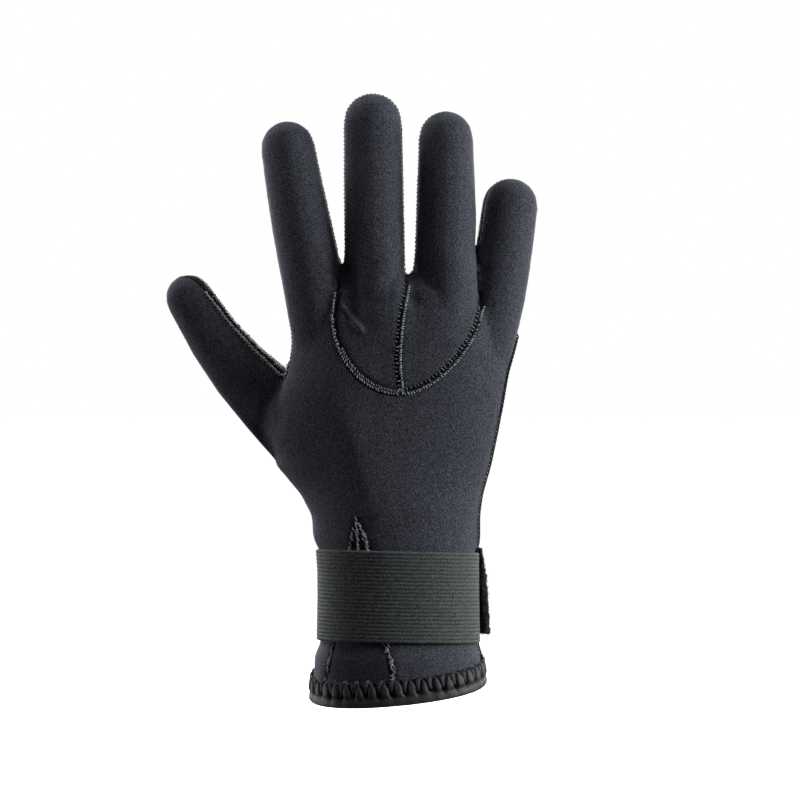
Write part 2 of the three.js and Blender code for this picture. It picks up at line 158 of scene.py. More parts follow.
# Where it lies between thumb and hand, in mm: left of an X that leans away above a height, between two
# heights, and in front of a Y.
THUMB_WEB = {"x": -48.0, "lean": 0.8, "lean_from": 143.0, "heights": (128.0, 176.0), "y": 12.0}

# Studio lamps: name, azimuth and elevation in degrees, side in metres, power in watts.
STUDIO_LAMPS = [
    ("key_right", 75.0, 12.0, 0.5, 13.2),
    ("side_right", 100.0, 12.0, 0.5, 4.8),
    ("back_right", 140.0, 12.0, 0.5, 5.0),
    ("high_right", 60.0, 55.0, 0.5, 2.6),
    ("high_front", 0.0, 55.0, 0.5, 0.85),
    ("side_left", -75.0, 12.0, 0.5, 0.4),
    ("low_left", -95.0, -4.0, 0.28, 4.5),
    ("low_left_back", -120.0, 0.0, 0.28, 2.2),
    ("high_left", -120.0, 55.0, 0.5, 8.0),
    ("back_left", -145.0, 12.0, 0.5, 7.0),
    ("behind", 168.0, 14.0, 0.6, 13.0),
]
LAMP_AIM = (0.0, 0.0, 0.13)  # the point that they look at, in metres
LAMP_DISTANCE = 1.3  # from that point, in metres
FLOOR_HALF = 40.0  # half the floor's width in metres


# Sizes and colours that a user would change


def colour_setting(name, description, default):
    return bpy.props.FloatVectorProperty(
        name=name, description=description, subtype="COLOR", size=3, default=default, min=0.0, max=1.0
    )


def length_setting(name, description, default, low, high):
    return bpy.props.FloatProperty(
        name=name,
        description=description,
        subtype="DISTANCE",
        unit="LENGTH",
        default=default,
        min=low,
        max=high,
    )


def number_setting(name, description, default, low, high):
    return bpy.props.FloatProperty(name=name, description=description, default=default, min=low, max=high)


def count_setting(name, description, default, low, high):
    return bpy.props.IntProperty(name=name, description=description, default=default, min=low, max=high)


class GloveCloth(bpy.types.PropertyGroup):
    jersey: colour_setting(
        "Jersey", "Colour of the knitted face of the back, inserts and gusset", (0.0185, 0.0197, 0.0260)
    )
    jersey_fleck: colour_setting(
        "Jersey fleck", "Colour of the paler fibres in the jersey", (0.110, 0.117, 0.152)
    )
    grip: colour_setting("Grip", "Colour of the rubbery palm material", (0.010, 0.016, 0.015))
    rim_round: count_setting(
        "Rim rounding", "Smoothing steps that round the cut rims of the panels", 9, 0, 40
    )
    fold_height: number_setting(
        "Fold height", "How strongly the folds on the back of the hand stand out", 1.0, 0.0, 2.0
    )


class GloveStitching(bpy.types.PropertyGroup):
    pitch: length_setting(
        "Stitch pitch", "Distance from one stitch to the next along a seam", 1.85 * MM, 0.5 * MM, 8.0 * MM
    )
    thread: length_setting(
        "Thread radius", "Half the thickness of the sewing thread", 0.21 * MM, 0.05 * MM, 1.0 * MM
    )
    pale: colour_setting(
        "Pale thread", "Colour of the grey thread over the knuckles", (0.360, 0.385, 0.430)
    )
    dark: colour_setting(
        "Dark thread", "Colour of the black thread of the side seams and cuff", (0.007, 0.0075, 0.0085)
    )


class GloveCuff(bpy.types.PropertyGroup):
    ribs: count_setting("Strap ribs", "Number of ribs across the elastic strap", 24, 4, 60)
    rib_height: length_setting("Rib height", "How far the strap's ribs stand up", 0.26 * MM, 0.0, 1.0 * MM)
    elastic: colour_setting("Elastic", "Colour of the woven elastic", (0.0200, 0.0222, 0.0228))
    gathers: count_setting("Gathers", "Number of gathers round the cuff's binding", 38, 8, 90)
    gather_height: length_setting(
        "Gather height", "How far the gathers of the binding swell", 0.75 * MM, 0.0, 2.0 * MM
    )
    binding: colour_setting("Binding", "Colour of the folded binding", (0.0290, 0.0285, 0.0290))


class GloveStage(bpy.types.PropertyGroup):
    distance: length_setting(
        "Camera distance", "Distance from the camera to the middle of the glove", 1.1, 0.4, 5.0
    )
    height: length_setting(
        "Camera height", "Height of the camera above the cuff's lower edge", 0.1276, -1.0, 1.0
    )
    lens: number_setting("Lens", "Focal length of the camera, in millimetres", 112.5, 20.0, 300.0)
    floor: length_setting(
        "Floor height", "Height of the floor, which is under the held-up glove", -0.14, -2.0, -0.01
    )
    fill: number_setting("Fill light", "Strength of the soft light from all round", 0.02, 0.0, 5.0)


class GloveSettings(bpy.types.PropertyGroup):
    cloth: bpy.props.PointerProperty(type=GloveCloth, name="Cloth", description="Panels")
    stitching: bpy.props.PointerProperty(type=GloveStitching, name="Stitching", description="Seams")
    cuff: bpy.props.PointerProperty(type=GloveCuff, name="Cuff", description="Strap and binding")
    stage: bpy.props.PointerProperty(type=GloveStage, name="Stage", description="Camera and light")


# Mesh helpers


def read_rows(items, attribute, width, kind):
    """An attribute of a mesh's points, edges or triangles, as the rows of a table."""
    flat = np.empty(len(items) * width, dtype=kind)
    items.foreach_get(attribute, flat)
    return flat.reshape(-1, width)


def read_points(mesh):
    return read_rows(mesh.vertices, "co", 3, np.float32).astype(float)


def read_edges(mesh):
    return read_rows(mesh.edges, "vertices", 2, np.int32)


def read_triangles(mesh):
    mesh.calc_loop_triangles()
    return read_rows(mesh.loop_triangles, "vertices", 3, np.int32)


def write_points(mesh, points):
    mesh.vertices.foreach_set("co", points.astype(np.float32).ravel())
    mesh.update()


def new_mesh(name, points, faces):
    made = bpy.data.meshes.new(name)
    made.from_pydata(points, [], faces)
    made.update()
    return made


def new_object(name, data):
    made = bpy.data.objects.new(name, data)
    bpy.context.scene.collection.objects.link(made)
    return made


def ring_faces(start, spans, count):
    """Quads between rings of this many points, whose numbers begin at start."""
    faces = []
    for low in range(start, start + spans * count, count):
        for k in range(count):
            turn = (k + 1) % count
            faces.append((low + k, low + turn, low + count + turn, low + count + k))
    return faces


def search_tree(points, triangles):
    return BVHTree.FromPolygons(points.tolist(), triangles.tolist())


def unit(vectors):
    length = np.linalg.norm(vectors, axis=-1, keepdims=True)
    return vectors / np.maximum(length, 1e-12)


def point_normals(points, triangles):
    a, b, c = (points[triangles[:, k]] for k in range(3))
    across = np.cross(b - a, c - a)
    total = np.zeros_like(points)
    for k in range(3):
        for axis in range(3):
            total[:, axis] += np.bincount(triangles[:, k], across[:, axis], len(points))
    return unit(total)


class Links:
    """The neighbours of each point of a mesh."""

    def __init__(self, count, edges):
        self.ends = np.concatenate([edges[:, 0], edges[:, 1]])
        self.others = np.concatenate([edges[:, 1], edges[:, 0]])
        self.count = count
        self.degree = np.maximum(np.bincount(self.ends, minlength=count), 1)

    def average(self, values):
        """Mean of the neighbours' values."""
        if values.ndim == 1:
            return np.bincount(self.ends, values[self.others], self.count) / self.degree
        return np.stack([self.average(values[:, k]) for k in range(values.shape[1])], axis=1)

    def smooth(self, values, steps):
        for _ in range(steps):
            values = 0.5 * values + 0.5 * self.average(values)
        return values

    def relax(self, points, steps, swell):
        """Smooths without shrinking: each inward step is followed by an outward one."""
        for _ in range(steps):
            points = points + 0.5 * (self.average(points) - points)
            points = points + swell * (self.average(points) - points)
        return points

    def reach(self, start, allowed):
        """Everything in allowed that is joined to start."""
        reached = start & allowed
        edge = reached
        while edge.any():
            fresh = np.zeros(self.count, dtype=bool)
            fresh[self.others[edge[self.ends]]] = True
            edge = fresh & allowed & ~reached
            reached = reached | edge
        return reached


def even_mesh(nodes, voxel, grow=0.0):
    """One closed mesh of even quads over the named nodes, each grown a little first."""
    joined = bmesh.new()
    for node in nodes:
        joined.from_mesh(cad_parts[node].data)
    bmesh.ops.remove_doubles(joined, verts=joined.verts, dist=0.001 * MM)
    joined.normal_update()
    for vertex in joined.verts:
        vertex.co += vertex.normal * grow
    plain = bpy.data.meshes.new("plain")
    joined.to_mesh(plain)
    joined.free()
    holder = new_object("holder", plain)
    remesh = holder.modifiers.new("Even mesh", "REMESH")
    remesh.mode = "VOXEL"
    remesh.voxel_size = voxel
    remesh.adaptivity = 0.0
    graph = bpy.context.evaluated_depsgraph_get()
    even = bpy.data.meshes.new_from_object(holder.evaluated_get(graph))
    bpy.data.objects.remove(holder)
    bpy.data.meshes.remove(plain)
    return even


def node_tree_of(node):
    """A search tree over one CAD node."""
    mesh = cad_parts[node].data
    return search_tree(read_points(mesh), read_triangles(mesh))


def place(name, mesh, material, stands_for=()):
    """Makes a piece of the glove from a finished mesh."""
    piece = new_object(name, mesh)
    mesh.name = name
    mesh.materials.clear()
    mesh.materials.append(material)
    mesh.polygons.foreach_set("use_smooth", [True] * len(mesh.polygons))
    mesh.update()
    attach(piece, "root")
    if stands_for:
        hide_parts(*stands_for)


def shares_of(points, corners):
    """The share of each corner of its triangle in each point."""
    a, b, c = corners[:, 0], corners[:, 1], corners[:, 2]
    areas = [
        np.linalg.norm(np.cross(one - points, other - points), axis=1)
        for one, other in ((b, c), (c, a), (a, b))
    ]
    areas = np.stack(areas, axis=1) + 1e-18
    return areas / areas.sum(axis=1, keepdims=True)


# Curves


def step_between(value, low, high):
    """0 below low, 1 above high, and a smooth rise between."""
    t = np.clip((value - low) / (high - low), 0.0, 1.0)
    return t * t * (3.0 - 2.0 * t)


def bell(value, middle, width):
    """1 at the middle, and a smooth fall to 0 on both sides of it."""
    return np.exp(-(((value - middle) / width) ** 2))


def smooth_line(line, steps):
    line = np.array(line, dtype=float)
    for _ in range(steps):
        line[1:-1] = 0.25 * line[:-2] + 0.5 * line[1:-1] + 0.25 * line[2:]
    return line


def reach_along(line):
    """The distance along a line at each of its points."""
    steps = np.linalg.norm(np.diff(line, axis=0), axis=1)
    return np.concatenate([[0.0], np.cumsum(steps)])


def even_line(line, spacing):
    reach = reach_along(line)
    count = max(3, int(round(reach[-1] / spacing)) + 1)
    wanted = np.linspace(0.0, reach[-1], count)
    return np.stack([np.interp(wanted, reach, line[:, k]) for k in range(3)], axis=1)


# The glove's smooth form and its seams


class Form:
    """An even skin over all five panels, before and after its flats are smoothed away."""

    def __init__(self):
        mesh = even_mesh(PANELS, SKIN["spacing"], SKIN["grow"])
        self.rough = read_points(mesh)
        self.triangles = read_triangles(mesh)
        self.links = Links(len(self.rough), read_edges(mesh))
        self.smooth = lean(self.links.relax(self.rough, SKIN["steps"], SKIN["swell"]))
        self.normals = point_normals(self.smooth, self.triangles)
        self.shift = self.smooth - self.rough
        self.tree = search_tree(self.rough, self.triangles)
        self.smooth_tree = search_tree(self.smooth, self.triangles)
        self.outside = self.find_outside()
        bpy.data.meshes.remove(mesh)

    def find_outside(self):
        """True for the points of the outer surface: told by direction low down, and joined to that above."""
        tall = self.rough[:, 2]
        low = tall < UNDER_STRAP[1]
        away = self.rough[:, :2] - np.array(WRIST_AXIS)
        facing = np.einsum("ij,ij->i", away, self.normals[:, :2]) > 0.0
        start = low & facing & (tall > UNDER_STRAP[0])
        return (low & facing) | self.links.reach(start, ~low | facing)

    def carry(self, points):
        """For each point: the shift, normal and outer weight of the skin next to it."""
        faces = np.empty(len(points), dtype=np.int32)
        feet = np.empty((len(points), 3))
        for index, point in enumerate(points.tolist()):
            foot, _, face, _ = self.tree.find_nearest(point)
            faces[index] = face
            feet[index] = foot
        corners = self.triangles[faces]
        weight = shares_of(feet, self.rough[corners])[:, :, None]
        shift = (self.shift[corners] * weight).sum(axis=1)
        normal = unit((self.normals[corners] * weight).sum(axis=1))
        outer = (self.outside[corners] * weight[:, :, 0]).sum(axis=1)
        gaps = np.linalg.norm(points - feet, axis=1)
        outer *= 1.0 - step_between(gaps, *SKIN["fade"])
        return shift, normal, outer


@functools.cache
def glove_form():
    return Form()


class Seam:
    """A seam's line on the outer surface, evenly spaced, with its normals and sideways directions."""

    def __init__(self, pair, line):
        form = glove_form()
        self.pair = pair
        self.line = even_line(smooth_line(line, 10), SEAM_STEP)
        faces = [form.smooth_tree.find_nearest(point)[2] for point in self.line.tolist()]
        self.normals = unit(smooth_line(form.normals[form.triangles[faces]].mean(axis=1), 8))
        self.across = unit(np.cross(self.normals, unit(np.gradient(self.line, axis=0))))
        self.reach = reach_along(self.line)
        self.length = self.reach[-1]

    def at(self, distance):
        """Point, normal and sideways direction at a distance along the seam."""
        place_in = np.clip(distance, 0.0, self.length)
        return tuple(
            np.array([np.interp(place_in, self.reach, values[:, k]) for k in range(3)])
            for values in (self.line, self.normals, self.across)
        )

    def rises(self):
        """True if the seam runs toward the fingertips."""
        return self.line[-1][2] > self.line[0][2]


def chains(links):
    """Walks a table of point to neighbours into separate lines of points."""
    lines = []
    left = set(links)
    ends = [point for point in links if len(links[point]) == 1]
    for start in ends + list(links):
        if start not in left:
            continue
        line = [start]
        left.discard(start)
        while True:
            onward = [point for point in links[line[-1]] if point in left]
            if not onward:
                break
            line.append(onward[0])
            left.discard(onward[0])
        lines.append(line)
    return lines


def panel_gaps(form):
    """How far each outer point lies from each panel; 1 m stands for any gap over SEAM_SEARCH."""
    panel_trees = [node_tree_of(node) for node in PANELS]
    gaps = np.full((len(form.rough), len(PANELS)), 1.0)
    for index in np.flatnonzero(form.outside).tolist():
        point = form.rough[index].tolist()
        for k, panel_tree in enumerate(panel_trees):
            gap = panel_tree.find_nearest(point, SEAM_SEARCH)[3]
            if gap is not None:
                gaps[index, k] = gap
    return gaps


def border_edges(form, nearest):
    """For each pair of panels, the mesh edges that cross their border, each with its neighbours."""
    labels = nearest[form.triangles]
    mixed = (labels.min(axis=1) != labels.max(axis=1)) & form.outside[form.triangles].all(axis=1)
    borders = {}
    for corner, label in zip(form.triangles[mixed].tolist(), labels[mixed].tolist()):
        if len(set(label)) != 2:
            continue
        sides = [(corner[k], corner[(k + 1) % 3]) for k in range(3)]
        one, other = [(min(a, b), max(a, b)) for a, b in sides if nearest[a] != nearest[b]]
        table = borders.setdefault(tuple(sorted(set(label))), {})
        table.setdefault(one, []).append(other)
        table.setdefault(other, []).append(one)
    return borders


@functools.cache
def seams():
    """The lines on the outer surface where one panel's region meets another's."""
    form = glove_form()
    gaps = panel_gaps(form)
    found = []
    for (one, other), table in sorted(border_edges(form, gaps.argmin(axis=1)).items()):
        for chain in chains(table):
            if len(chain) < SHORTEST_SEAM:
                continue
            line = []
            for a, b in chain:
                at_a = gaps[a, one] - gaps[a, other]
                at_b = gaps[b, one] - gaps[b, other]
                share = np.clip(at_a / (at_a - at_b), 0.0, 1.0)
                line.append(form.smooth[a] * (1.0 - share) + form.smooth[b] * share)
            found.append(Seam((PANELS[one], PANELS[other]), line))
    return found


def seams_between(one, other):
    return [seam for seam in seams() if set(seam.pair) == {one, other}]


def pinch_of(seam, point):
    """How deep a seam pulls the cloth in at one of its points."""
    if "palm_panel" in seam.pair:
        return PINCH["edge"] if right_edge(point) else PINCH["side"]
    return PINCH["side"] if "wrist_gusset" in seam.pair else PINCH["knuckle"]


def thumb_web(point):
    """True where the palm's seam runs between the thumb and the hand."""
    x, y, z = point / MM
    low, high = THUMB_WEB["heights"]
    side = THUMB_WEB["x"] - THUMB_WEB["lean"] * max(z - THUMB_WEB["lean_from"], 0.0)
    return x < side and low < z < high and y < THUMB_WEB["y"]


def right_edge(point):
    """True on the hand's edge under the little finger, where the seam shows from the front."""
    return point[0] > RIGHT_EDGE["x"] and point[2] < RIGHT_EDGE["top"]


@functools.cache
def seam_points():
    """A search tree over all seam points, with how deep each pinches the cloth."""
    tree = KDTree(sum(len(seam.line) for seam in seams()))
    depth = []
    for seam in seams():
        for point in seam.line.tolist():
            tree.insert(point, len(depth))
            depth.append(pinch_of(seam, point))
    tree.balance()
    return tree, np.array(depth)


# Panels


def curve_of(table, tall):
    """A fold's X, strength and further values at these heights, in mm, with its corners rounded off."""
    levels = np.arange(-20.0, 200.0, 1.0)
    rows = np.array(table)[::-1]
    values = []
    for column in range(1, rows.shape[1]):
        line = np.interp(levels, rows[:, 0], rows[:, column])
        values.append(np.interp(tall, levels, smooth_line(line, 30)))
    return values


def lean(points):
    """Points moved so that the back of the hand and the wrist have their long soft ridge."""
    tall = points[:, 2] / MM
    line, strength, left = curve_of(RIDGE_LINE, tall)
    off = points[:, 0] / MM - line
    slope = np.where(off > 0.0, RIDGE["right"], left)
    reach = np.where(off > 0.0, RIDGE["right_reach"], RIDGE["left_reach"])
    rounded = np.sqrt(off**2 + RIDGE["round"] ** 2) - RIDGE["round"]
    height = RIDGE["rise"] - slope * reach * np.tanh(rounded / reach)
    back = step_between(-points[:, 1] / MM, *RIDGE["fade"])
    moved = np.array(points)
    moved[:, 1] -= height * strength * back * MM
    return moved


def off_segment(flat, start, end):
    """Distance of flat points from a segment."""
    start, end = np.array(start), np.array(end)
    along = end - start
    share = np.clip((flat - start) @ along / (along @ along), 0.0, 1.0)
    return np.linalg.norm(flat - start - share[:, None] * along, axis=1)


def fold_height(points):
    """Height of the soft folds on the back of the hand at each point, in metres."""
    flat = points[:, [0, 2]] / MM
    height = np.zeros(len(points))
    for start, end, width, rise in BACK_FOLDS:
        height += rise * bell(off_segment(flat, start, end), 0.0, width)
    line, strength = curve_of(THUMB_FOLD, flat[:, 1])
    off = flat[:, 0] - line
    lip = step_between(off, *LIP["rise"]) * bell(np.maximum(off, 0.0), 0.0, LIP["fall"])
    share, middle, half = LIP["gully"]
    gully = share * bell(off, middle, half)
    return (height + LIP["height"] * strength * (lip - gully)) * MM


def fold_lift(points, normal, cloth):
    """The folds' height where the surface faces the back of the hand."""
    return fold_height(points) * step_between(-normal[:, 1], *FOLD_FACING) * cloth.fold_height


def soft_mesh(node, voxel, cloth):
    """A panel with rounded rims, no flats, and its cloth pinched in along the seams."""
    form = glove_form()
    mesh = even_mesh([node], voxel, grow=PANEL_GROW)
    links = Links(len(mesh.vertices), read_edges(mesh))
    points = links.relax(read_points(mesh), cloth.rim_round, SOFT_SWELL)
    shift, normal, outer = form.carry(points)
    points = links.relax(points + shift, SOFT_STEPS["points"], SOFT_SWELL)
    normal = unit(links.smooth(normal, SOFT_STEPS["normal"]))
    outer = links.smooth(outer, SOFT_STEPS["outer"])
    tree, depth = seam_points()
    lift = np.zeros(len(points))
    for index in np.flatnonzero(outer > LEAST_HOLD).tolist():
        _, nearest, gap = tree.find(points[index])
        if gap < PINCH["reach"]:
            swell = SWELL["share"] * bell(gap, SWELL["at"], SWELL["half"])
            lift[index] = depth[nearest] * (swell - bell(gap, 0.0, PINCH["half"]))
    lift += fold_lift(points, normal, cloth)
    lift = links.smooth(lift * outer, SOFT_STEPS["lift"])
    write_points(mesh, points + normal * lift[:, None])
    return mesh


# Sewing thread


class Thread:
    """Gathers round threads into one mesh."""

    def __init__(self, sides=6):
        self.points = []
        self.faces = []
        self.sides = sides
        angles = np.arange(sides) * 2.0 * math.pi / sides
        self.round = np.stack([np.cos(angles), np.sin(angles)], axis=1)

    def add(self, path, up, radius):
        """A thread of this radius along path; up is the surface normal at each of its points."""
        path = np.asarray(path)
        radius = np.broadcast_to(radius, len(path))
        along = unit(np.gradient(path, axis=0))
        side = unit(np.cross(along, up))
        top = np.cross(side, along)
        start = len(self.points)
        for k in range(len(path)):
            rim = self.round[:, :1] * side[k] + self.round[:, 1:] * top[k]
            self.points.extend((path[k] + rim * radius[k]).tolist())
        self.faces += ring_faces(start, len(path) - 1, self.sides)
        self.faces.append(tuple(reversed(range(start, start + self.sides))))
        self.faces.append(tuple(range(len(self.points) - self.sides, len(self.points))))

    def place(self, name, material, slot=None):
        place(name, new_mesh(name, self.points, self.faces), material)


@functools.cache
def cloth_tree():
    """A search tree over the finished panels, for laying thread on."""
    points, triangles, count = [], [], 0
    for name, *_ in SOFT_PANELS:
        mesh = bpy.data.objects[name].data
        points.append(read_points(mesh))
        triangles.append(read_triangles(mesh) + count)
        count += len(points[-1])
    return search_tree(np.concatenate(points), np.concatenate(triangles))


def lay(point, normal):
    """The surface point under or over this one, along the normal."""
    start = Vector(point + normal * LAY_FROM)
    hit = cloth_tree().ray_cast(start, Vector(-normal), LAY_REACH)[0]
    if hit is None:
        hit = cloth_tree().find_nearest(Vector(point))[0]
    return np.array(hit)


def cross_stitch(thread, seam, distance, slant, half, radius, arch, centre=0.0):
    """A stitch over the seam, sunk into the cloth at both ends; none where it would bridge a gap."""
    ends = []
    for sign in (-1.0, 1.0):
        point, normal, across = seam.at(distance + sign * slant)
        ends.append((lay(point + across * (centre + sign * half), normal), normal))
    (low, up_low), (high, up_high) = ends
    if np.linalg.norm(high - low) > WIDEST_STITCH * math.hypot(half, slant):
        return
    middle = unit(up_low + up_high)
    path = [low - up_low * DIVE, low + up_low * 0.6 * radius]
    for share in (0.25, 0.5, 0.75):
        rise = arch * math.sin(math.pi * share) + radius
        path.append(low * (1.0 - share) + high * share + middle * rise)
    path += [high + up_high * 0.6 * radius, high - up_high * DIVE]
    thread.add(path, np.tile(middle, (7, 1)), radius)


def twisted_row(thread, seam, radius, turns, seed):
    """Two strands wound round one another along the seam; turns is the length of one full twist."""
    count = max(8, int(seam.length / (0.36 * MM)))
    drift = smooth_line(np.random.default_rng(seed).normal(0.0, 0.3 * MM, count), 8)
    for phase in (0.0, math.pi):
        path, ups = [], []
        for distance, aside in zip(np.linspace(0.0, seam.length, count), drift):
            point, normal, across = seam.at(distance)
            turn = 2.0 * math.pi * distance / turns + phase
            ground = lay(point + across * (radius * math.sin(turn) + aside), normal)
            path.append(ground + normal * radius * (1.4 + 0.4 * math.cos(turn)))
            ups.append(normal)
        thread.add(smooth_line(path, 1), np.array(ups), radius)


def painted_groove_shadow(thread, seam, start, end, offset, half):
    """A dark strand beside the seam, of this half width, that lies mostly in the cloth: painted shadow in
    the seam's groove.
    """
    path, ups = [], []
    for distance in np.linspace(start, end, max(8, int((end - start) / (0.5 * MM)))):
        point, normal, across = seam.at(distance)
        path.append(lay(point + across * offset, normal) - normal * 0.6 * half)
        ups.append(normal)
    thread.add(smooth_line(path, 3), np.array(ups), 1.2 * half)


def rope(thread, seam, start, end, offset, half, radius, spacing, slant, seed):
    """Short thick pale stitches one after another, with gaps between them."""
    rng = np.random.default_rng(seed)
    for distance in np.arange(start + 0.5 * spacing, end, spacing):
        jitter = rng.normal(0.0, 0.1 * spacing)
        thick = radius * rng.uniform(0.85, 1.35)
        leaning = slant * rng.uniform(0.7, 1.3)
        wide = half * rng.uniform(0.85, 1.15)
        cross_stitch(thread, seam, distance + jitter, leaning, wide, thick, 0.8 * MM, offset)


def knot(thread, centre, normal, spread, count, radius, seed):
    """A small heap of crossed stitches where seams meet."""
    rng = np.random.default_rng(seed)
    side = unit(np.cross(normal, (0.3, 0.1, 1.0)))
    other = np.cross(normal, side)
    for _ in range(count):
        turn = rng.uniform(0.0, math.pi)
        aim = side * math.cos(turn) + other * math.sin(turn)
        middle = centre + (side * rng.normal() + other * rng.normal()) * 0.45 * spread
        reach = rng.uniform(0.6, 1.0) * spread
        path = []
        for share in (-1.0, -0.6, 0.0, 0.6, 1.0):
            rise = radius + 1.0 * MM * (1.0 - share**2) - 0.3 * MM * share**4
            path.append(lay(middle + aim * reach * share, normal) + normal * rise)
        thread.add(path, np.tile(normal, (5, 1)), radius)


# Finishes


def set_values(node, values):
    for name, value in values.items():
        node.inputs[name].default_value = value


def start_material(name, roughness, specular, sheen=0.0, sheen_roughness=0.5):
    """A new material with its shader, and its position in millimetres as a texture coordinate."""
    material = bpy.data.materials.new(name)
    material.use_nodes = True
    tree = material.node_tree
    shader = tree.nodes["Principled BSDF"]
    set_values(shader, {"Roughness": roughness, "Specular IOR Level": specular})
    set_values(shader, {"Sheen Weight": sheen, "Sheen Roughness": sheen_roughness})
    where = tree.nodes.new("ShaderNodeTexCoord")
    scale = tree.nodes.new("ShaderNodeVectorMath")
    scale.operation = "SCALE"
    set_values(scale, {"Scale": 1.0 / MM})
    tree.links.new(where.outputs["Object"], scale.inputs[0])
    return material, tree, shader, scale.outputs["Vector"]


def link_or_set(tree, value, socket):
    """Joins a socket to a socket, or gives it a number or a colour."""
    if isinstance(value, (int, float)):
        socket.default_value = value
    elif isinstance(value, tuple):
        socket.default_value = (*value, 1.0)
    else:
        tree.links.new(value, socket)


def noise(tree, vector, scale, detail=2.0, roughness=0.5):
    node = tree.nodes.new("ShaderNodeTexNoise")
    set_values(node, {"Scale": scale, "Detail": detail, "Roughness": roughness})
    tree.links.new(vector, node.inputs["Vector"])
    return node.outputs["Fac"]


def cells(tree, vector, scale, feature="F1"):
    node = tree.nodes.new("ShaderNodeTexVoronoi")
    node.feature = feature
    set_values(node, {"Scale": scale})
    tree.links.new(vector, node.inputs["Vector"])
    return node.outputs["Distance"]


def between(tree, value, low, high, to_low=0.0, to_high=1.0):
    node = tree.nodes.new("ShaderNodeMapRange")
    set_values(node, {"From Min": low, "From Max": high, "To Min": to_low, "To Max": to_high})
    tree.links.new(value, node.inputs["Value"])
    return node.outputs["Result"]


def sum_of(tree, one, other, operation="ADD"):
    node = tree.nodes.new("ShaderNodeMath")
    node.operation = operation
    link_or_set(tree, one, node.inputs[0])
    link_or_set(tree, other, node.inputs[1])
    return node.outputs["Value"]


def blend_colour(tree, factor, one, other):
    node = tree.nodes.new("ShaderNodeMix")
    node.data_type = "RGBA"
    tree.links.new(factor, node.inputs["Factor"])
    link_or_set(tree, one, node.inputs["A"])
    link_or_set(tree, other, node.inputs["B"])
    return node.outputs["Result"]


def paint(tree, shader, factor, one, other):
    tree.links.new(blend_colour(tree, factor, one, other), shader.inputs["Base Color"])


def relief(tree, shader, height, strength, distance):
    node = tree.nodes.new("ShaderNodeBump")
    set_values(node, {"Strength": strength, "Distance": distance})
    tree.links.new(height, node.inputs["Height"])
    tree.links.new(node.outputs["Normal"], shader.inputs["Normal"])


def darker(colour, share):
    return tuple(channel * share for channel in colour)


def patchy(tree, where, scale, detail, one, other):
    """Two shades of a colour in large soft patches."""
    return blend_colour(tree, between(tree, noise(tree, where, scale, detail), 0.3, 0.7), one, other)


# The last argument darkens all the jersey's colours; below 1, as on the gusset, that darkening is painted
# shade for a surface turned away from the light.
def jersey_material(name, cloth, painted_shade):
    material, tree, shader, where = start_material(name, 0.82, 0.28, 0.22, 0.42)
    shader.inputs["Sheen Tint"].default_value = (0.72, 0.78, 0.92, 1.0)
    grain = noise(tree, where, 2.3, 1.0)
    dim, full = darker(cloth.jersey, 0.86 * painted_shade), darker(cloth.jersey, 1.12 * painted_shade)
    base = patchy(tree, where, 0.045, 3.0, dim, full)
    paint(tree, shader, between(tree, grain, 0.45, 0.60), base, darker(cloth.jersey_fleck, painted_shade))
    height = sum_of(tree, cells(tree, where, 1.5), sum_of(tree, grain, 0.6, "MULTIPLY"))
    relief(tree, shader, height, 0.6, 0.12 * MM)
    return material


def grip_material(cloth):
    material, tree, shader, where = start_material("rubbery_grip", 0.5, 0.4)
    pebble = cells(tree, where, 0.62, "SMOOTH_F1")
    grain = noise(tree, where, 2.4, 3.0, 0.7)
    paint(tree, shader, between(tree, grain, 0.52, 0.72), tuple(cloth.grip), (0.060, 0.078, 0.073))
    tree.links.new(between(tree, pebble, 0.2, 0.8, 0.5, 0.78), shader.inputs["Roughness"])
    height = sum_of(tree, sum_of(tree, pebble, -1.0, "MULTIPLY"), sum_of(tree, grain, 0.35, "MULTIPLY"))
    relief(tree, shader, height, 0.8, 0.35 * MM)
    return material


def thread_material(name, colour, roughness):
    material, tree, shader, where = start_material(name, roughness, 0.4)
    strands = between(tree, noise(tree, where, 2.6, 2.0, 0.6), 0.35, 0.65)
    paint(tree, shader, strands, darker(colour, 0.45), darker(colour, 1.45))
    relief(tree, shader, noise(tree, where, 6.0, 2.0), 0.5, 0.06 * MM)
    return material


def elastic_material(cuff):
    material, tree, shader, where = start_material("woven_elastic", 0.75, 0.3, 0.12)
    speck = noise(tree, where, 3.1, 1.0)
    base = patchy(tree, where, 0.06, 2.0, darker(cuff.elastic, 0.62), darker(cuff.elastic, 0.92))
    paint(tree, shader, between(tree, speck, 0.45, 0.60), base, (0.158, 0.176, 0.178))
    relief(tree, shader, sum_of(tree, speck, cells(tree, where, 1.8)), 0.6, 0.14 * MM)
    return material


def hook_material():
    material, tree, shader, where = start_material("hook_tape_pile", 0.95, 0.15)
    tuft = noise(tree, where, 1.4, 4.0, 0.8)
    paint(tree, shader, between(tree, tuft, 0.35, 0.75), (0.012, 0.014, 0.013), (0.105, 0.116, 0.108))
    relief(tree, shader, tuft, 1.0, 0.4 * MM)
    return material


def binding_material(cuff):
    material, tree, shader, where = start_material("folded_binding", 0.55, 0.4, 0.1)
    grain = noise(tree, where, 1.9, 3.0, 0.7)
    paint(tree, shader, between(tree, grain, 0.5, 0.75), tuple(cuff.binding), (0.062, 0.060, 0.064))
    relief(tree, shader, grain, 0.5, 0.12 * MM)
    return material


# Round bands: the strap and the cuff's binding


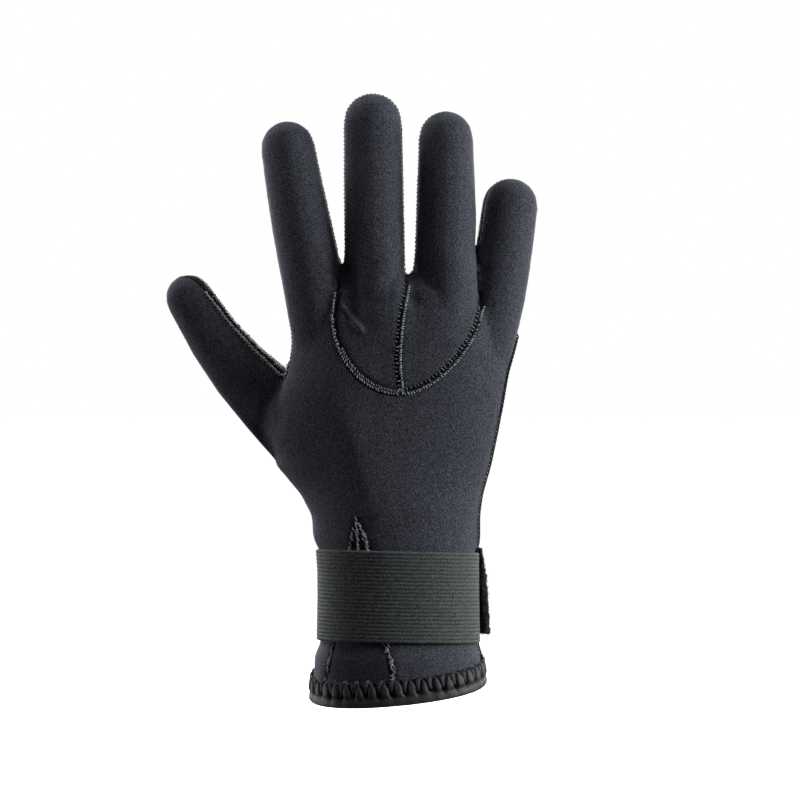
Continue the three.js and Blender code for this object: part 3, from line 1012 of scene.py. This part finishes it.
def band_radius(node, band, heights, outward):
    """How far the node's wall lies from the wrist's axis, by height and angle, without its flats."""
    tree = node_tree_of(node)
    angles = np.arange(WALL_SAMPLES) * 2.0 * math.pi / WALL_SAMPLES
    found = np.empty((len(heights), len(angles)))
    axis, slope = np.array(WRIST_AXIS), np.array(band["slope"])
    for row, height in enumerate(heights):
        for column, angle in enumerate(angles):
            aim = np.array([math.cos(angle), math.sin(angle)])
            start = axis + aim * (0.09 if outward else 0.0)
            level = band["low"] + height + start @ slope
            along = (-1.0 if outward else 1.0) * np.array([*aim, aim @ slope])
            hit = tree.ray_cast((*start, level), along.tolist())[0]
            if hit is None:
                raise RuntimeError(f"no wall of {node} at {height / MM:.1f} mm")
            found[row, column] = math.hypot(hit[0] - axis[0], hit[1] - axis[1])
    waves = np.fft.rfft(found, axis=1)
    waves[:, WALL_WAVES:] = 0.0
    return waves


class Band:
    """A smooth band round the wrist, which gives a point for a share of its length, a height and a depth."""

    def __init__(self, node, band, heights):
        self.band = band
        self.heights = np.array(heights)
        self.outer = band_radius(node, band, heights, True)
        self.inner = band_radius(node, band, heights, False)
        self.fine = np.linspace(0.0, 2.0 * math.pi, 1441)
        radius = self.wave(self.outer[len(heights) // 2], self.fine)
        flat = np.stack([radius * np.cos(self.fine), radius * np.sin(self.fine)], axis=1)
        self.reach = reach_along(flat)
        self.length = self.reach[-1]

    @staticmethod
    def wave(terms, angles):
        order = np.arange(len(terms))
        share = np.where(order == 0, 1.0, 2.0) / WALL_SAMPLES
        return np.real(np.exp(1j * np.outer(angles, order)) @ (terms * share))

    def angle_at(self, share):
        return np.interp(np.asarray(share) % 1.0 * self.length, self.reach, self.fine)

    def radius_at(self, angles, heights, walls):
        table = np.stack([self.wave(terms, angles) for terms in walls])
        place_in = np.interp(heights, self.heights, np.arange(len(self.heights)))
        low = np.clip(np.floor(place_in).astype(int), 0, len(self.heights) - 2)
        part = place_in - low
        columns = np.arange(len(angles))
        return table[low, columns] * (1.0 - part) + table[low + 1, columns] * part

    def points(self, share, height, out, inside=False):
        """Points at these shares of the length and heights, moved outward by out."""
        angles = self.angle_at(share)
        height = np.broadcast_to(height, len(angles))
        heights = np.clip(height, self.heights[0], self.heights[-1])
        walls = self.inner if inside else self.outer
        radius = self.radius_at(angles, heights, walls) + out
        x = WRIST_AXIS[0] + radius * np.cos(angles)
        y = WRIST_AXIS[1] + radius * np.sin(angles)
        slope = self.band["slope"]
        z = self.band["low"] + height + slope[0] * x + slope[1] * y
        return lean(np.stack([x, y, z], axis=1))


def ring_mesh(name, rows):
    """A closed ring from rows of points, each row once round, the last row joined to the first."""
    points = np.concatenate(rows)
    faces = ring_faces(0, len(rows), len(rows[0]))
    closed = [tuple(corner % len(points) for corner in face) for face in faces]
    return new_mesh(name, points.tolist(), closed)


@functools.cache
def cuff_band():
    return Band("cuff_binding", HEM, [0.8 * MM, 3.0 * MM, 5.5 * MM, 8.0 * MM, 10.2 * MM])


@functools.cache
def strap_band():
    return Band("wrist_strap", STRAP, [1.0 * MM, 10.0 * MM, 20.0 * MM, 30.0 * MM, 38.6 * MM])


# The pieces


class GLOVE_OT_panels(bpy.types.Operator):
    """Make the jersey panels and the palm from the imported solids"""

    bl_idname = "glove.panels"
    bl_label = "Panels"

    def execute(self, context):
        cloth = context.scene.glove.cloth
        finishes = {
            "jersey": jersey_material("charcoal_jersey", cloth, 1.0),
            # The gusset's jersey is darkened to 0.62 of the rest: painted shade.
            "inset": jersey_material("gusset_jersey_painted_shade", cloth, 0.62),
            "grip": grip_material(cloth),
        }
        for name, node, spacing, finish, slot in SOFT_PANELS:
            place(name, soft_mesh(node, spacing * MM, cloth), finishes[finish], [node])
        return {"FINISHED"}


def side_of(seam, panel):
    """+1 if the panel lies on the seam's sideways direction, else -1."""
    tree = node_tree_of(panel)
    point, _, across = seam.at(seam.length * 0.5)
    ahead, behind = (tree.find_nearest(point + across * side * 2.0 * MM)[3] for side in (1.0, -1.0))
    return 1.0 if ahead < behind else -1.0


# The seams over the knuckles: the panels, the side the pale thread lies on, how far up it shows in mm,
# and whether its groove is crossed by rungs or by slanting dashes and a zigzag.
KNUCKLE_ROWS = (
    {"between": ("back_panel", "middle_insert"), "rope_on": "back_panel", "reach": 60.0, "ladder": False},
    {"between": ("back_panel", "ring_insert"), "rope_on": "back_panel", "reach": 57.0, "ladder": True},
    {"between": ("middle_insert", "ring_insert"), "rope_on": "ring_insert", "reach": 48.0, "ladder": True},
)
# Dark strands that paint the shadow in their groove: distance from the seam and half width in mm.
GROOVE_SHADOWS = ((1.0, 0.75), (-0.75, 0.8))
DASH_GROOVE_SHADOW = (1.6, 0.7)  # one more painted groove shadow where the groove is crossed by dashes
BARE_GROOVE_SHADOW = 9.0 * MM  # length of the groove's painted shadow above the stitches
# Rows of short stitches on those seams: thread, stretch, distance from the seam and half width in mm,
# thickness in thread radii, spacing in pitches, slant in mm, and what is added to the seed.
LADDER_ROWS = (
    ("pale", "whole", 1.0, 0.5, 1.4, 0.62, 0.35, 0),
    ("rung", "whole", -0.75, 0.8, 1.05, 1.0, 0.1, 10),
)
DASH_ROWS = (
    ("pale", "low", 0.95, 0.6, 1.1, 0.72, 0.6, 0),
    ("rung", "low", -0.2, 0.6, 1.1, 0.72, 0.6, 1),
    ("pale", "high", 0.9, 0.55, 1.3, 0.9, 0.45, 4),
    ("pale", "high", 0.8, 0.4, 1.1, 0.9, -0.5, 5),
)


class GLOVE_OT_knuckle_seams(bpy.types.Operator):
    """Sew the curved seam under the two middle fingers and the seam between them"""

    bl_idname = "glove.knuckle_seams"
    bl_label = "Knuckle seams"

    def execute(self, context):
        stitching = context.scene.glove.stitching
        threads = {"pale": Thread(), "rung": Thread(), "dark": Thread()}
        for number, row in enumerate(KNUCKLE_ROWS):
            for seam in seams_between(*row["between"]):
                self.sew(threads, seam, row, stitching, 71 + number)
        foot = seams_between("middle_insert", "ring_insert")[0]
        centre, normal, _ = foot.at(0.0 if foot.rises() else foot.length)
        knot(threads["pale"], centre, normal, 1.4 * MM, 10, stitching.thread * 1.1, 5)
        # The dark strands are painted shadow for the grooves, coloured darker than the dark thread.
        rung_colour, groove_shadow_colour = darker(stitching.pale, 0.7), darker(stitching.dark, 0.5)
        threads["pale"].place("knuckle_thread_pale", thread_material("pale_thread", stitching.pale, 0.6))
        threads["rung"].place("knuckle_thread_rungs", thread_material("rung_thread", rung_colour, 0.6))
        threads["dark"].place("knuckle_groove_painted_shadow", thread_material("groove_shadow_paint", groove_shadow_colour, 0.95))
        return {"FINISHED"}

    @staticmethod
    def stretches(seam, reach):
        """Start and end of the sewn stretch, its lower and upper parts, and the bare groove above it."""
        start, end = (0.0, reach) if seam.rises() else (seam.length - reach, seam.length)
        turn_at = start + (0.55 if seam.rises() else 0.45) * reach
        first, second = (start, turn_at), (turn_at, end)
        if seam.rises():
            above = (end, min(end + BARE_GROOVE_SHADOW, seam.length))
            return {"whole": (start, end), "low": first, "high": second, "above": above}
        above = (max(start - BARE_GROOVE_SHADOW, 0.0), start)
        return {"whole": (start, end), "low": second, "high": first, "above": above}

    def sew(self, threads, seam, row, stitching, seed):
        """A pale beaded thread beside a groove darkened by strands of painted shadow, crossed by rungs or by
        slanting dashes.
        """
        # This thread holds only the dark strands of painted shadow in the groove.
        dark = threads["dark"]
        side = side_of(seam, row["rope_on"])
        stretches = self.stretches(seam, min(row["reach"] * MM, seam.length))
        upright = (-1.0 if seam.rises() else 1.0) * MM
        for offset, half in GROOVE_SHADOWS:
            painted_groove_shadow(dark, seam, *stretches["whole"], side * offset * MM, half * MM)
        if not row["ladder"]:
            offset, half = DASH_GROOVE_SHADOW
            painted_groove_shadow(dark, seam, *stretches["low"], side * offset * MM, half * MM)
        stitch_rows = LADDER_ROWS if row["ladder"] else DASH_ROWS
        for thread, stretch, offset, half, thick, spacing, slant, extra in stitch_rows:
            sizes = (side * offset * MM, half * MM, thick * stitching.thread, spacing * stitching.pitch)
            rope(threads[thread], seam, *stretches[stretch], *sizes, slant * upright, seed + extra)
        # Above the stitches the groove gets only a strand of painted shadow.
        low, high = stretches["above"]
        if high - low > 2.0 * MM:
            painted_groove_shadow(dark, seam, low, high, 0.0, 0.5 * MM)


# Stitches beside the hand's edge and beside the thumb's web: how far along and its slant in pitches, half
# width in mm, thickness in thread radii, height of its arch and distance from the seam in mm.
EDGE_STITCHES = ((0.0, 0.3, 1.0, 1.5, 0.5, 2.0), (0.5, -0.8, 0.2, 1.9, 0.45, 2.3))
WEB_STITCHES = (
    (0.0, 0.35, 0.8, 1.6, 0.05, -0.1),
    (0.5, 0.35, 0.8, 1.6, 0.05, 0.2),
    (0.0, 0.35, 0.8, 1.6, 0.05, 1.0),
    (0.5, 0.35, 0.8, 1.6, 0.05, 1.4),
)


class GLOVE_OT_side_seams(bpy.types.Operator):
    """Sew the seams that join the palm to the back and to the finger inserts"""

    bl_idname = "glove.side_seams"
    bl_label = "Side seams"

    def execute(self, context):
        stitching = context.scene.glove.stitching
        pitch, radius = stitching.pitch, stitching.thread
        dark, pale = Thread(), Thread()
        for number, seam in enumerate(seams()):
            if "palm_panel" not in seam.pair:
                continue
            for distance in np.arange(pitch * 0.5, seam.length, pitch):
                point, _, across = seam.at(distance)
                palmward = 1.0 if across[1] > 0.0 else -1.0
                if right_edge(point):
                    self.group(dark, seam, distance, EDGE_STITCHES, -palmward, stitching)
                elif thumb_web(point):
                    rng = np.random.default_rng(number * 1000 + int(distance / pitch))
                    self.web_zigzag(pale, seam, distance, palmward, stitching, rng)
                    self.group(dark, seam, distance, WEB_STITCHES, palmward, stitching)
                    self.web_fleck(pale, seam, distance, palmward, stitching, rng)
                else:
                    cross_stitch(dark, seam, distance, 0.3 * pitch, 0.85 * MM, radius * 0.95, 0.1 * MM)
        dark.place("side_thread_dark", thread_material("side_thread", stitching.dark, 0.7))
        pale.place("side_thread_pale", thread_material("web_thread", (0.60, 0.63, 0.63), 0.6))
        return {"FINISHED"}

    @staticmethod
    def group(thread, seam, distance, rows, side, stitching):
        """A few stitches beside one another, which repeat along the seam."""
        pitch = stitching.pitch
        for along, slant, half, thick, arch, aside in rows:
            sizes = (half * MM, thick * stitching.thread, arch * MM, side * aside * MM)
            cross_stitch(thread, seam, distance + along * pitch, slant * pitch, *sizes)

    @staticmethod
    def web_zigzag(pale, seam, distance, palmward, stitching, rng):
        """Two pale crossed stitches on the seam between thumb and hand."""
        for slant in (0.45, -0.45):
            leaning = slant * rng.uniform(0.6, 1.3) * stitching.pitch
            thick = stitching.thread * rng.uniform(1.3, 1.9)
            cross_stitch(pale, seam, distance, leaning, 0.6 * MM, thick, 0.6 * MM, -palmward * 1.3 * MM)

    @staticmethod
    def web_fleck(pale, seam, distance, palmward, stitching, rng):
        """At most places, a loose pale fleck beyond the seam."""
        if rng.random() < 0.8:
            place_in = distance + rng.uniform(-0.5, 0.5) * stitching.pitch
            slant = rng.uniform(-0.5, 0.5) * stitching.pitch
            thick = stitching.thread * rng.uniform(1.0, 1.6)
            aside = palmward * rng.uniform(1.0, 3.0) * MM
            cross_stitch(pale, seam, place_in, slant, 0.4 * MM, thick, 0.85 * MM, aside)


# The share of places that have a pale fleck, by part of the gusset's seams, and how far flecks stray in mm.
GUSSET_FLECKS = {"left_low": (0.06, 0.25), "right_low": (0.95, 0.7), "elsewhere": (0.6, 0.25)}


class GLOVE_OT_gusset_seams(bpy.types.Operator):
    """Sew the two seams of the pointed wrist gusset"""

    bl_idname = "glove.gusset_seams"
    bl_label = "Gusset seams"

    def execute(self, context):
        stitching = context.scene.glove.stitching
        pitch, radius = stitching.pitch, stitching.thread
        dark, pale = Thread(), Thread()
        rng = np.random.default_rng(23)
        for seam in seams_between("back_panel", "wrist_gusset"):
            apex = seam.reach[seam.line[:, 2].argmax()]
            for number, line in enumerate((seam, self.middle_row(seam, apex))):
                twisted_row(dark, line, radius * 1.3, 1.9 * pitch, 61 + number)
                for distance in np.arange(0.3 * pitch, line.length, 0.3 * pitch):
                    part = "elsewhere" if line is not seam else self.part_of_seam(distance / apex)
                    share, stray = GUSSET_FLECKS[part]
                    if rng.random() > share:
                        continue
                    slope = rng.normal(0.5, 0.3) * pitch
                    half = rng.uniform(0.25, 0.6) * MM
                    thick = radius * rng.uniform(0.8, 1.2)
                    aside = rng.normal(0.0, stray) * MM
                    cross_stitch(pale, line, distance, slope, half, thick, 0.9 * MM, aside)
        dark.place("gusset_thread_dark", thread_material("gusset_thread", stitching.dark, 0.65))
        pale.place("gusset_thread_pale", thread_material("gusset_fleck", stitching.pale, 0.6))
        return {"FINISHED"}

    @staticmethod
    def part_of_seam(share):
        """Which part of the seam lies at this share of the way up to its apex; past 1 it goes down again."""
        if share < 0.2:
            return "left_low"
        return "right_low" if share > 1.3 else "elsewhere"

    @staticmethod
    def middle_row(seam, apex):
        """The short row of stitches down the gusset's middle, from its point to under the strap."""
        top = seam.at(apex)[0]
        line = [top + np.array((0.0, 0.0, up * MM)) for up in np.arange(2.6, 0.2, -0.4)]
        for down in np.arange(0.4, 20.0, 0.4) * MM:
            left, right = seam.at(apex - down)[0], seam.at(apex + down)[0]
            line.append(0.55 * left + 0.45 * right)
        return Seam(seam.pair, line)


class GLOVE_OT_strap(bpy.types.Operator):
    """Make the ribbed elastic strap"""

    bl_idname = "glove.strap"
    bl_label = "Strap"

    def execute(self, context):
        cuff = context.scene.glove.cuff
        band = strap_band()
        share = np.arange(STRAP_COLUMNS) / STRAP_COLUMNS
        width = STRAP["width"]
        waves = np.random.default_rng(31).normal(0.0, 1.0, 12) * STRAP_COLUMNS * 0.006 * MM
        waver = np.fft.irfft(np.concatenate([[0.0], waves]), STRAP_COLUMNS)
        rows = []
        for part in np.arange(cuff.ribs * RIB_ROWS + 1) / (cuff.ribs * RIB_ROWS):
            rib = abs(math.sin(math.pi * part * cuff.ribs)) ** 0.7
            ease = min(min(part, 1.0 - part) * width / STRAP_EDGE["reach"], 1.0)
            out = cuff.rib_height * (rib - 1.0) - STRAP_EDGE["deep"] * (1.0 - ease) ** 2
            rows.append(band.points(share, part * width + waver, out))
        for part in (0.985, 0.8, 0.6, 0.4, 0.2, 0.015):
            rows.append(band.points(share, part * width + waver, 0.0, inside=True))
        mesh = ring_mesh("strap", rows)
        place("elastic_strap", mesh, elastic_material(cuff), ["wrist_strap"])
        return {"FINISHED"}


class GLOVE_OT_tab(bpy.types.Operator):
    """Make the strap's hook-and-loop tab with its short pile"""

    bl_idname = "glove.tab"
    bl_label = "Strap tab"

    def execute(self, context):
        mesh = even_mesh(["strap_tab"], 0.6 * MM)
        links = Links(len(mesh.vertices), read_edges(mesh))
        points = self.flare(links.relax(read_points(mesh), 14, SOFT_SWELL))
        rng = np.random.default_rng(41)
        rough = links.smooth(rng.normal(0.0, 1.0, len(points)), 2)
        normal = point_normals(points, read_triangles(mesh))
        points = points + normal * rough[:, None] * TAB_ROUGHNESS
        write_points(mesh, points)
        finish = hook_material()
        place("hook_tab", mesh, finish, ["strap_tab"])
        pile = Thread(sides=3)
        for index in rng.choice(len(points), PILE["fibres"]).tolist():
            up = unit(normal[index] + rng.normal(0.0, PILE["stray"], 3))
            bend = rng.normal(0.0, PILE["bend"], 3)
            reach = rng.uniform(*PILE["length"]) * MM
            path = points[index] + np.array([-0.2 * MM * up, 0.5 * reach * up, reach * unit(up + bend)])
            side = unit(np.cross(up, rng.normal(0.0, 1.0, 3)))
            pile.add(path, np.tile(side, (3, 1)), PILE["radius"])
        pile.place("hook_tab_pile", finish, "hook_tape")
        return {"FINISHED"}

    @staticmethod
    def flare(points):
        """Presses the tab's upper end close to the strap and lets its lower end stand off."""
        band = strap_band()
        away = points[:, :2] - np.array(WRIST_AXIS)
        angles = np.arctan2(away[:, 1], away[:, 0]) % (2.0 * math.pi)
        distance = np.linalg.norm(away, axis=1)
        tall = points[:, 2]
        height = tall - STRAP["low"] - points[:, :2] @ np.array(STRAP["slope"])
        inner = band.radius_at(angles, np.clip(height, band.heights[0], band.heights[-1]), band.outer)
        share = (tall - tall.min()) / (tall.max() - tall.min())
        thick = 1.1 - 0.3 * step_between(share, 0.5, 1.0)
        wanted = inner + np.maximum(distance - inner, 0.0) * thick
        moved = np.array(points)
        moved[:, :2] = np.array(WRIST_AXIS) + away * (wanted / distance)[:, None]
        return lean(moved)


HOLE_HEIGHT = 5.8  # of the needle holes above the binding's lower edge, in mm
LEAN_RUN = 4.0  # a needle hole's line leans by its tilt over so many mm of height
# The pit round a needle hole: depth in mm, half width in gathers, height and half height in mm.
PIT = {"deep": 2.6, "half": 0.15, "height": 5.9, "tall": 1.4}
# The slot that a fan of cloth lies in: depth in mm, width beyond the fan and soft edge in gathers, and the
# heights that it begins between in mm.
SLOT = {"deep": 1.0, "beyond": 0.08, "edge": 0.12, "begins": (5.2, 6.6)}
# The mounds between the slots: fullness, reach in gathers, the heights that they begin between, and the
# middle and reach of their round form in mm.
MOUND = {"full": 1.3, "half": 0.55, "begins": (3.4, 6.0), "form": (6.4, 5.4)}
# The roll under them: middle and half height in mm, fullness, how much less it is under a needle hole, half
# width of that in gathers, and how far all of this is sunk.
ROLL = {"form": (1.9, 2.6), "full": 0.9, "less": 0.2, "half": 0.3, "sunk": 0.5}
FAN_WIDTH = ((5.4, 10.6), (0.04, 0.39))  # two heights in mm, and a fan's half width there in gathers
# Heights along a puff of cloth above its needle hole in mm, and how full it is there.
FAN_HEIGHTS = np.array([5.9, 6.9, 7.9, 8.9, 9.9, 10.7, 10.9])
FAN_FULLNESS = np.array([0.6, 0.9, 1.0, 1.0, 1.0, 0.97, 0.86])


def uneven_turn(turn, count):
    """Turns whose needle holes keep their places but whose lobes are a little uneven between them."""
    return turn + 0.05 * np.sin(2.0 * np.pi * turn) * np.sin(2.0 * np.pi * turn * 7.0 / count)


@functools.cache
def pit_table(count):
    """Width, depth, tilt and height of each needle hole of the binding, all a little different."""
    rng = np.random.default_rng(59)
    wide = rng.uniform(0.8, 1.3, count)
    deep = rng.uniform(0.9, 1.3, count)
    tilt = rng.uniform(0.02, 0.16, count)
    level = rng.uniform(-0.4, 0.5, count)
    return wide, deep, tilt, level


def fan_half(tall):
    """Half width of the cloth fan above a needle hole, as a share of a gather, at this height in mm."""
    return np.interp(tall, *FAN_WIDTH)


def hole_lean(tilt, tall):
    """How far a needle hole's line has leaned at this height in mm, as a share of a gather."""
    return tilt * (tall - HOLE_HEIGHT) / LEAN_RUN


def rim_fall(height, reach):
    """How far the binding's wall draws in near its two rims."""
    edge = min(height, HEM["width"] - height)
    return 0.55 * MM * max(0.0, 1.0 - edge / reach) ** 2


def dome(value, middle, reach):
    """1 at the middle, and a round fall to 0 at this reach from it."""
    return np.sqrt(np.clip(1.0 - ((value - middle) / reach) ** 2, 0.0, 1.0))


def lay_on_binding(thread, count, turn, tall, out, radius):
    """Adds a thread over the binding: its way round in gathers, its height in mm and how far out it lies."""
    angles = cuff_band().angle_at(turn / count)
    ups = np.stack([np.cos(angles), np.sin(angles), np.zeros(len(angles))], axis=1)
    thread.add(cuff_band().points(turn / count, tall * MM, out), ups, radius)


def gather_shape(turn, height, swell, count):
    """How far the binding swells: mounds that narrow upward, with pits between them, over a smooth roll."""
    nearest = np.round(turn)
    wide, deep, tilt, level = (values[nearest.astype(int) % count] for values in pit_table(count))
    tall = height / MM
    off = np.clip(np.abs(turn - nearest + hole_lean(tilt, tall)), 0.0, 0.5)
    pit = bell(off, 0.0, PIT["half"] * wide) * bell(tall, PIT["height"] + level, PIT["tall"])
    slot = step_between(fan_half(tall) + SLOT["beyond"] - off, 0.0, SLOT["edge"])
    slot = SLOT["deep"] * MM * slot * step_between(tall, *SLOT["begins"])
    mound = dome(off, 0.5, MOUND["half"]) * step_between(tall, *MOUND["begins"]) * dome(tall, *MOUND["form"])
    roll = bell(tall, *ROLL["form"]) * (ROLL["full"] - ROLL["less"] * bell(off, 0.0, ROLL["half"]))
    form = swell * (MOUND["full"] * mound + roll - ROLL["sunk"])
    return form - PIT["deep"] * deep * MM * pit - slot


class GLOVE_OT_binding(bpy.types.Operator):
    """Make the gathered binding round the cuff, and its overedge thread"""

    bl_idname = "glove.binding"
    bl_label = "Cuff binding"

    def execute(self, context):
        cuff = context.scene.glove.cuff
        stitching = context.scene.glove.stitching
        mesh = ring_mesh("binding", self.rows(cuff_band(), cuff))
        place("cuff_binding_fold", mesh, binding_material(cuff), ["cuff_binding"])
        thread, fans = Thread(), Thread(sides=14)
        for number, tilt in enumerate(pit_table(cuff.gathers)[2]):
            self.gather(fans, thread, cuff.gathers, number, tilt, stitching.thread)
        thread.place("cuff_thread", thread_material("cuff_thread", stitching.dark, 0.5))
        fans.place("cuff_fans", bpy.data.materials["charcoal_jersey"])
        return {"FINISHED"}

    @staticmethod
    def rows(band, cuff):
        """Rows up the outside, down and up the slot that the cloth's edge lies in, and down the inside."""
        count = cuff.gathers
        share = np.arange(count * 20) / (count * 20)
        turn = uneven_turn(share * count, count)
        size = np.random.default_rng(53).uniform(0.75, 1.25, count)
        uneven = np.interp(share * count, np.arange(count) + 0.5, size, period=count)
        scallop = 0.5 * MM * (0.5 - np.sin(np.pi * np.abs(turn - np.round(turn))))
        width = HEM["width"]
        rows = []
        for height in np.linspace(0.35 * MM, width - 0.2 * MM, 40):
            level = height + scallop * step_between(height / MM, 6.5, 10.5)
            out = gather_shape(turn, height, cuff.gather_height, count) * uneven
            rows.append(band.points(share, level, out - rim_fall(height, 1.2 * MM)))
        top = width - 0.1 * MM
        for height, deep in ((top, 1.2 * MM), (2.0 * MM, 1.25 * MM)):
            rows.append(band.points(share, height, -deep))
        for height, deep in ((2.0 * MM, 1.25 * MM), (top, 1.2 * MM)):
            rows.append(band.points(share, height, deep, inside=True))
        for height in np.linspace(width - 0.3 * MM, 0.35 * MM, 12):
            wave = 0.3 * gather_shape(turn, height, cuff.gather_height, count)
            rows.append(band.points(share, height, rim_fall(height, 1.1 * MM) - wave, inside=True))
        rows.append(band.points(share, 0.0, 1.6 * MM, inside=True))
        rows.append(band.points(share, 0.0, -1.6 * MM))
        return rows

    @staticmethod
    def gather(fans, thread, count, number, tilt, radius):
        """One needle hole's puff of cloth, wide at the edge and narrow below, and the thread round it."""
        half = fan_half(FAN_HEIGHTS) * cuff_band().length / count * FAN_FULLNESS
        turn = number - hole_lean(tilt, FAN_HEIGHTS)
        lay_on_binding(fans, count, turn, FAN_HEIGHTS, 0.05 * MM - half * 0.78, half)
        parts = np.linspace(-1.0, 1.0, 11)
        out = (-0.8 + 0.75 * np.sqrt(1.0 - 0.98 * parts**2)) * MM
        turn = number - 1.2 * tilt + parts * 0.4
        lay_on_binding(thread, count, turn, 10.7 + 0.5 * (1.0 - parts**2), out, 1.35 * radius)
        tall = np.linspace(5.6, 10.7, 8)
        for side in (-1.0, 1.0):
            turn = number - hole_lean(tilt, tall) + side * (fan_half(tall) + 0.02)
            lay_on_binding(thread, count, turn, tall, -0.35 * MM, 0.9 * radius)


class GLOVE_OT_stage(bpy.types.Operator):
    """Set up the floor, the lights and the camera"""

    bl_idname = "glove.stage"
    bl_label = "Stage"

    def execute(self, context):
        scene = context.scene
        stage = scene.glove.stage
        ground = self.ground(stage.floor)
        self.sky(scene, stage)
        for lamp in STUDIO_LAMPS:
            self.lamp(*lamp)
        self.floor_light(ground)
        camera = bpy.data.cameras.new("camera")
        camera.lens = stage.lens
        camera.sensor_width = 36.0
        camera.clip_start = 0.01
        camera.clip_end = 200.0
        scene.camera = new_object("camera", camera)
        scene.camera.location = (0.0, -stage.distance, stage.height)
        scene.camera.rotation_euler = (math.radians(90.0), 0.0, 0.0)
        scene.view_settings.view_transform = "Standard"
        return {"FINISHED"}

    @staticmethod
    def ground(height):
        """A wide pale floor."""
        sides = ((-1, -1), (1, -1), (1, 1), (-1, 1))
        corners = [(x * FLOOR_HALF, y * FLOOR_HALF, height) for x, y in sides]
        floor = new_mesh("floor", corners, [(0, 1, 2, 3)])
        pale = bpy.data.materials.new("pale_floor")
        pale.use_nodes = True
        shader = pale.node_tree.nodes["Principled BSDF"]
        set_values(shader, {"Base Color": (0.9, 0.9, 0.9, 1.0), "Roughness": 0.9})
        floor.materials.append(pale)
        ground = new_object("floor", floor)
        return ground

    @staticmethod
    def sky(scene, stage):
        """White to look at, and dimmer as a light."""
        world = bpy.data.worlds.new("studio")
        world.use_nodes = True
        scene.world = world
        tree = world.node_tree
        back = tree.nodes["Background"]
        set_values(back, {"Color": (1.0, 1.0, 1.0, 1.0), "Strength": 1.0})
        light = tree.nodes.new("ShaderNodeBackground")
        set_values(light, {"Color": (0.95, 0.97, 1.0, 1.0), "Strength": stage.fill})
        choice = tree.nodes.new("ShaderNodeMixShader")
        path = tree.nodes.new("ShaderNodeLightPath")
        tree.links.new(path.outputs["Is Camera Ray"], choice.inputs["Fac"])
        tree.links.new(light.outputs["Background"], choice.inputs[1])
        tree.links.new(back.outputs["Background"], choice.inputs[2])
        tree.links.new(choice.outputs["Shader"], tree.nodes["World Output"].inputs["Surface"])

    @staticmethod
    def lamp(name, azimuth, elevation, size, power):
        """A soft square lamp that looks at the glove; azimuth 0 is in front of it and 90 to its right."""
        light = bpy.data.lights.new(name, "AREA")
        light.shape = "SQUARE"
        light.size = size
        light.energy = power
        lamp = new_object(name, light)
        turn, rise = math.radians(azimuth), math.radians(elevation)
        back = Vector((math.sin(turn) * math.cos(rise), -math.cos(turn) * math.cos(rise), math.sin(rise)))
        lamp.location = Vector(LAMP_AIM) + back * LAMP_DISTANCE
        lamp.rotation_mode = "QUATERNION"
        lamp.rotation_quaternion = (-back).to_track_quat("-Z", "Y")

    @staticmethod
    def floor_light(ground):
        """A soft light from above that falls on the floor alone, so that the floor is pale all over."""
        above = bpy.data.lights.new("floor_light", "SUN")
        above.energy = 3.7
        above.angle = math.radians(50.0)
        lamp = new_object("floor_light", above)
        lamp.location = (0.0, 0.0, 2.0)
        lit = bpy.data.collections.new("lit_by_floor_light")
        lit.objects.link(ground)
        lamp.light_linking.receiver_collection = lit
        ground.visible_diffuse = False
        ground.visible_glossy = False


class GLOVE_PT_sidebar(bpy.types.Panel):
    """Lists the glove's operators and sizes"""

    bl_idname = "GLOVE_PT_sidebar"
    bl_label = "Glove"
    bl_space_type = "VIEW_3D"
    bl_region_type = "UI"
    bl_category = "Glove"

    def draw(self, context):
        layout = self.layout
        for operator in OPERATORS:
            layout.operator(operator.bl_idname)
        for group in ("cloth", "stitching", "cuff", "stage"):
            settings = getattr(context.scene.glove, group)
            box = layout.box()
            for name in settings.bl_rna.properties.keys():
                if name not in ("rna_type", "name"):
                    box.prop(settings, name)


OPERATORS = (
    GLOVE_OT_panels,
    GLOVE_OT_knuckle_seams,
    GLOVE_OT_side_seams,
    GLOVE_OT_gusset_seams,
    GLOVE_OT_strap,
    GLOVE_OT_tab,
    GLOVE_OT_binding,
    GLOVE_OT_stage,
)
GROUPS = (GloveCloth, GloveStitching, GloveCuff, GloveStage, GloveSettings)


def register():
    for entry in (*GROUPS, *OPERATORS, GLOVE_PT_sidebar):
        bpy.utils.register_class(entry)
    bpy.types.Scene.glove = bpy.props.PointerProperty(
        type=GloveSettings, name="Glove", description="The glove's sizes and colours"
    )


def unregister():
    del bpy.types.Scene.glove
    for entry in (GLOVE_PT_sidebar, *reversed(OPERATORS), *reversed(GROUPS)):
        bpy.utils.unregister_class(entry)


def main():
    register()
    bpy.ops.glove.panels()
    bpy.ops.glove.knuckle_seams()
    bpy.ops.glove.side_seams()
    bpy.ops.glove.gusset_seams()
    bpy.ops.glove.strap()
    bpy.ops.glove.tab()
    bpy.ops.glove.binding()
    bpy.ops.glove.stage()


if __name__ == "__main__":
    main()
